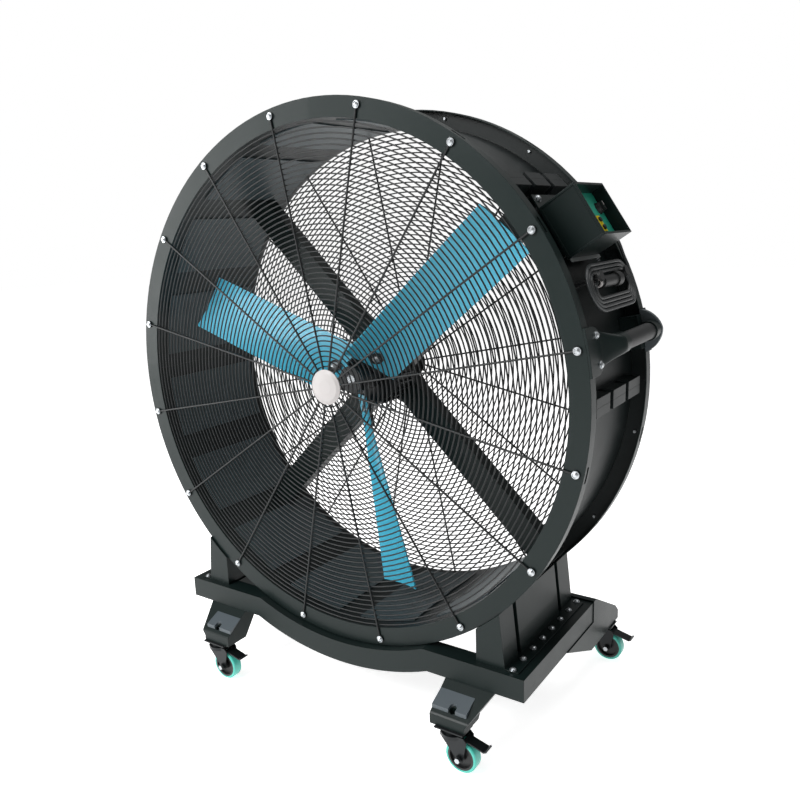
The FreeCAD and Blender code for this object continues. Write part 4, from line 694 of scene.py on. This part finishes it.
class FAN_OT_guards(bpy.types.Operator):
    """Draw both guards with all their round wires"""
    bl_idname = "fan.guards"
    bl_label = "Wire guards"

    def execute(self, context):
        guard = context.scene.fan.guard
        slot = "black_wire"
        coat = painted(slot)
        count = round((guard.last_ring - guard.first_ring) / guard.ring_pitch)
        pitch = (guard.last_ring - guard.first_ring) / count
        for name, sign in (("front_grille", 1), ("rear_grille", -1)):
            spoke_y = sign * (FRONT_Y - guard.spoke_wire / 2)
            ring_y = sign * (FRONT_Y + guard.ring_wire / 2)
            eyelet_y = sign * (FRONT_Y - guard.eyelet_height / 2)
            rings = []
            for k in range(count + 1):
                radius = guard.first_ring + k * pitch
                loop = [around(radius, 360 / GUARD_RING_STEPS * j, ring_y) for j in range(GUARD_RING_STEPS)]
                rings.append((loop, True))
            spokes = []
            eyelets = [(Vector((0, spoke_y, AXIS_HEIGHT)), guard.hub_radius, guard.spoke_wire)]
            for k in range(BOLT_COUNT):
                angle = (k + 0.5) * 360 / BOLT_COUNT
                inner_end = around(guard.hub_radius * SPOKE_START, angle, spoke_y)
                spokes.append(([inner_end, around(BOLT_R, angle, spoke_y)], False))
                eyelet = around(BOLT_R, angle, eyelet_y)
                eyelets.append((eyelet, guard.eyelet_radius, guard.eyelet_height))
            keep(wire_curve(name + "_rings", rings, guard.ring_wire), "frame", coat, [name])
            keep(wire_curve(name + "_spokes", spokes, guard.spoke_wire), "frame", coat)
            keep(disc_mesh(name + "_eyelets", eyelets), "frame", coat)
        return {"FINISHED"}


class FAN_OT_cord(bpy.types.Operator):
    """Draw the mains cord on its pegs, with the pale ring where it enters its plug"""
    bl_idname = "fan.cord"
    bl_label = "Mains cord"

    def execute(self, context):
        settings = context.scene.fan.cord
        points = cord_points(settings.arc_step)
        cord = cord_curve("mains_cord", points, settings.diameter)
        keep(cord, "frame", painted("black_cord"), ["power_cord"])
        ring = plug_ring("plug_end_ring", points[-1], settings.ring_radius, settings.ring_wire)
        keep(ring, "frame", painted("grey_cap"))
        return {"FINISHED"}


class FAN_OT_drum_pads(bpy.types.Operator):
    """Add the shallow moulded pads inside the drum, one behind each guard bolt"""
    bl_idname = "fan.drum_pads"
    bl_label = "Pads inside the drum"

    def execute(self, context):
        drum = context.scene.fan.drum
        # A smoother and paler skin than the wall, so that each pad shows as a lit field: the paleness is
        # painted light
        skin = surface("Moulded inlay with painted light", "#3c4649", 0.42, shine=0.25)
        middles = [(k + 0.5) * 360 / BOLT_COUNT for k in range(BOLT_COUNT)]
        pads = arc_plates("drum_inner_pads", middles, math.degrees(drum.pad_angle),
                          RING_INNER_R - drum.pad_height, RING_INNER_R, drum.pad_front, drum.pad_rear)
        keep(pads, "frame", skin)
        return {"FINISHED"}


class FAN_OT_wall_screws(bpy.types.Operator):
    """Add the small screws on the drum's wall beside the coil"""
    bl_idname = "fan.wall_screws"
    bl_label = "Screws on the wall"

    def execute(self, context):
        drum = context.scene.fan.drum
        discs = []
        for angle, y in WALL_SCREWS:
            axis = on_side(angle, 1, 0, 0) - on_side(angle, 0, 0, 0)
            discs.append((on_side(angle, WALL_OUTER_R, y, 0), axis, drum.screw_radius, drum.screw_height))
        keep(turned_discs("wall_screws", discs, sides=24), "frame", painted("zinc_steel"))
        return {"FINISHED"}


class FAN_OT_rotor_trim(bpy.types.Operator):
    """Add the black rubber washers under the blade bolts"""
    bl_idname = "fan.rotor_trim"
    bl_label = "Blade washers"

    def execute(self, context):
        rotor = context.scene.fan.rotor
        pitch = math.radians(rotor.root_pitch)
        discs = []
        for k in range(BLADE_COUNT):
            angle = rotor.first_angle + 360 / BLADE_COUNT * k
            axis = on_side(angle, 0, -math.cos(pitch), -math.sin(pitch)) - on_side(angle, 0, 0, 0)
            washer = on_side(angle, rotor.bolt_radius, rotor.blade_plane, 0) + axis * rotor.washer_lift
            discs.append((washer, axis, rotor.washer_radius, rotor.washer_height))
        keep(turned_discs("blade_washers", discs), "rotor", painted("black_plastic"))
        return {"FINISHED"}


class FAN_OT_caster_trim(bpy.types.Operator):
    """Add the bright nuts on the casters' axles"""
    bl_idname = "fan.caster_trim"
    bl_label = "Axle nuts"

    def execute(self, context):
        for corner in ("front_left", "front_right", "rear_left", "rear_right"):
            low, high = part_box(corner + "_fork")
            tread_low, tread_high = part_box(corner + "_tread")
            middle = (Vector(tread_low) + Vector(tread_high)) / 2
            discs = []
            for sign, face in ((-1, low[1]), (1, high[1])):
                spot = Vector((middle.x, face, middle.z))
                discs.append((spot, Vector((0, sign, 0)), AXLE_NUT_R, AXLE_NUT_HEIGHT))
            nuts = turned_discs(corner + "_axle_nuts", discs, sides=6)
            keep(nuts, corner + "_swivel", painted("zinc_steel"))
        return {"FINISHED"}


class FAN_OT_boot_trim(bpy.types.Operator):
    """Add the raised step with its notch on each front boot"""
    bl_idname = "fan.boot_trim"
    bl_label = "Steps on the front boots"

    def execute(self, context):
        boot = context.scene.fan.boot
        # Paler than the coat round it: the paleness is a painted reflection on the step's top
        skin = surface("Cast step with painted reflection", "#454d52", 0.36, grain_mm=1.8, grain=0.15, mottle=0.05)
        bar_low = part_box("base_front_bar")[0]
        for corner, hand in (("front_left", -1), ("front_right", 1)):
            low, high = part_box(corner + "_boot")
            inner = low[0] if hand > 0 else high[0]
            low_x, high_x = sorted((inner, inner + hand * boot.step_width))
            front = low[1] + boot.step_front
            back = low[1] + boot.step_back
            slope = ((low[1], low[2] + boot.lip_height), (bar_low[1], high[2]))
            tread = ((front, height_on(slope, front) + boot.step_rise), (back, height_on(slope, back)))
            notch = (hand * boot.notch_side, boot.notch_radius, boot.notch_depth)
            step = step_plate(corner + "_boot_step", low_x, high_x, notch, slope, tread)
            keep(step, "frame", skin)
        return {"FINISHED"}


class FAN_OT_handle_trim(bpy.types.Operator):
    """Add the rounded fairings that join the handle's plates to its grip"""
    bl_idname = "fan.handle_trim"
    bl_label = "Fairings on the handle"

    def execute(self, context):
        handle = context.scene.fan.handle
        grip_low, grip_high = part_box("handle_grip")
        front_neck = grip_low[1] - handle.socket_length
        rear_neck = grip_high[1] + handle.socket_length
        front = []
        rear = []
        for k in range(FAIRING_STATIONS + 1):
            share = k / FAIRING_STATIONS
            eased = share * share * (3 - 2 * share)
            front.append((handle.front_start + share * (front_neck - handle.front_start),
                          handle.front_width + eased * (handle.neck_width - handle.front_width),
                          handle.plate_height + eased * (handle.neck_height - handle.plate_height)))
            # Level from the grip outwards, then a round drop to the rim
            drop = share ** 4
            rear.append((rear_neck + share * (handle.rear_end - rear_neck), handle.rear_width,
                         handle.neck_height + drop * (handle.plate_height - handle.neck_height)))
        slot = "charcoal_powder_coat"
        # Paler than the coat: painted light on the far end, so that it stands out against the dark wall
        pale = surface("Handle end with painted light", "#4a5053", 0.45, shine=0.3)
        ends = (("handle_front_fairing", front, handle.front_fullness, painted(slot)),
                ("handle_rear_fairing", rear, handle.rear_fullness, pale))
        for name, stations, fullness, skin in ends:
            hood = fairing(name, handle.angle, handle.base_radius, stations, fullness)
            keep(hood, "frame", skin)
        return {"FINISHED"}


class FAN_OT_control_trim(bpy.types.Operator):
    """Add the frame on the control box's front, the lip under it and the knob's pale pointer"""
    bl_idname = "fan.control_trim"
    bl_label = "Control box trim"

    def execute(self, context):
        box = context.scene.fan.box
        front = box.front_y
        half = box.width / 2
        low_r = box.base_radius
        high_r = box.top_radius
        edge = box.frame_width
        proud = box.frame_height
        blocks = [(BOX_ANGLE, low_r, high_r, front - proud, front, half - edge, half),
                  (BOX_ANGLE, low_r, high_r, front - proud, front, -half, edge - half),
                  (BOX_ANGLE, high_r - edge, high_r, front - proud, front, edge - half, half - edge),
                  (BOX_ANGLE, low_r, low_r + edge, front - proud, front, edge - half, half - edge)]
        slot = "charcoal_powder_coat"
        keep(side_blocks("control_box_frame", blocks), "frame", painted(slot))
        # A pale edge with a painted highlight, which draws a thin light line under the dark box
        painted_highlight_skin = surface("Folded edge with painted highlight", "#8b9090", 0.35, metallic=0.6)
        lip = [(BOX_ANGLE, low_r, low_r + box.lip_height, front, BOX_REAR_Y, -half - box.lip_width, -half)]
        keep(side_blocks("control_box_lip", lip, bevel=0.0008), "frame", painted_highlight_skin)
        knob_y, knob_across = box.knob_place
        top = box.knob_top
        pointer = [(BOX_ANGLE, top, top + POINTER_HEIGHT,
                    knob_y - POINTER_WIDTH / 2, knob_y + POINTER_WIDTH / 2,
                    knob_across, knob_across + POINTER_LENGTH)]
        keep(side_blocks("knob_pointer", pointer, bevel=0.0001), "knob", painted("grey_cap"))
        return {"FINISHED"}


def make_camera(stage):
    """The camera that looks at the fan as the photo does."""
    camera = bpy.data.objects.new("Camera", bpy.data.cameras.new("Camera"))
    camera.data.sensor_width = SENSOR_WIDTH
    camera.data.lens = stage.lens
    place = Vector(stage.camera_place)
    ahead = (Vector(stage.camera_aim) - place).normalized()
    level = ahead.cross(Vector((0, 0, 1))).normalized()
    upright = level.cross(ahead)
    right = math.cos(stage.camera_roll) * level + math.sin(stage.camera_roll) * upright
    up = right.cross(ahead)
    turn = Matrix((right, up, -ahead)).transposed().to_4x4()
    camera.matrix_world = Matrix.Translation(place) @ turn
    return camera


def make_world(room_light):
    """A world that the camera sees as white and that lights the fan evenly but weakly."""
    world = bpy.data.worlds.new("Studio")
    world.use_nodes = True
    nodes = world.node_tree.nodes
    links = world.node_tree.links
    backdrop = nodes["Background"]
    backdrop.inputs["Color"].default_value = WHITE
    room = add_node(world, "ShaderNodeBackground", Color=WHITE, Strength=room_light)
    seen = add_node(world, "ShaderNodeLightPath")
    blend = add_node(world, "ShaderNodeMixShader")
    links.new(seen.outputs["Is Camera Ray"], blend.inputs[0])
    links.new(room.outputs["Background"], blend.inputs[1])
    links.new(backdrop.outputs["Background"], blend.inputs[2])
    links.new(blend.outputs["Shader"], nodes["World Output"].inputs["Surface"])
    return world


def make_floor(size, glow):
    """A level floor that gives off a little light by itself."""
    half = size / 2
    corners = [(-half, -half, 0), (half, -half, 0), (half, half, 0), (-half, half, 0)]
    # Almost white, and bright enough to run into the backdrop without an edge
    pale = surface("Pale studio floor", "#f2f2f2", 0.8)
    shader = pale.node_tree.nodes["Principled BSDF"]
    shader.inputs["Emission Color"].default_value = WHITE
    shader.inputs["Emission Strength"].default_value = glow
    floor = mesh_object("Floor", corners, [(0, 1, 2, 3)])
    floor.data.materials.append(pale)
    return floor


def make_lamp(name, spot, size, power):
    """A square lamp turned towards the fan."""
    lamp = bpy.data.lights.new(name, "AREA")
    lamp.size = size
    lamp.energy = power
    light = bpy.data.objects.new(name, lamp)
    light.location = spot
    aim = Vector(LAMP_AIM) - Vector(spot)
    light.rotation_euler = aim.to_track_quat("-Z", "Y").to_euler()
    return light


class FAN_OT_stage(bpy.types.Operator):
    """Set the camera, the light and the floor"""
    bl_idname = "fan.stage"
    bl_label = "Studio stage"

    def execute(self, context):
        scene = context.scene
        stage = scene.fan.stage
        camera = make_camera(stage)
        scene.collection.objects.link(camera)
        scene.camera = camera
        scene.view_settings.view_transform = "Standard"
        scene.world = make_world(stage.room_light)
        studio = [make_floor(stage.floor_size, stage.floor_glow)]
        studio += [make_lamp(*lamp) for lamp in LAMPS]
        for obj in studio:
            scene.collection.objects.link(obj)
        return {"FINISHED"}


class FAN_PT_panel(bpy.types.Panel):
    """The fan's settings in the sidebar"""
    bl_idname = "FAN_PT_panel"
    bl_label = "Drum fan"
    bl_space_type = "VIEW_3D"
    bl_region_type = "UI"
    bl_category = "Drum fan"

    def draw(self, context):
        settings = context.scene.fan
        for field in FanSettings.__annotations__:
            group = getattr(settings, field)
            box = self.layout.box()
            for name in group.__annotations__:
                box.prop(group, name)
        for operator in OPERATORS:
            self.layout.operator(operator.bl_idname)


GROUPS = (FanGuardSettings, FanCordSettings, FanDrumSettings, FanRotorSettings, FanBoxSettings,
          FanBootSettings, FanHandleSettings, FanStageSettings, FanSettings)
OPERATORS = (FAN_OT_paint, FAN_OT_guards, FAN_OT_cord, FAN_OT_drum_pads, FAN_OT_wall_screws,
             FAN_OT_rotor_trim, FAN_OT_caster_trim, FAN_OT_boot_trim, FAN_OT_handle_trim,
             FAN_OT_control_trim, FAN_OT_stage)


def register():
    for kind in GROUPS + OPERATORS + (FAN_PT_panel,):
        bpy.utils.register_class(kind)
    bpy.types.Scene.fan = bpy.props.PointerProperty(
        type=FanSettings, name="Fan", description="Settings of the fan")


def unregister():
    del bpy.types.Scene.fan
    for kind in reversed(GROUPS + OPERATORS + (FAN_PT_panel,)):
        bpy.utils.unregister_class(kind)


def main():
    register()
    bpy.ops.fan.paint()
    bpy.ops.fan.guards()
    bpy.ops.fan.cord()
    bpy.ops.fan.drum_pads()
    bpy.ops.fan.wall_screws()
    bpy.ops.fan.rotor_trim()
    bpy.ops.fan.caster_trim()
    bpy.ops.fan.boot_trim()
    bpy.ops.fan.handle_trim()
    bpy.ops.fan.control_trim()
    bpy.ops.fan.stage()


if __name__ == "__main__":
    main()
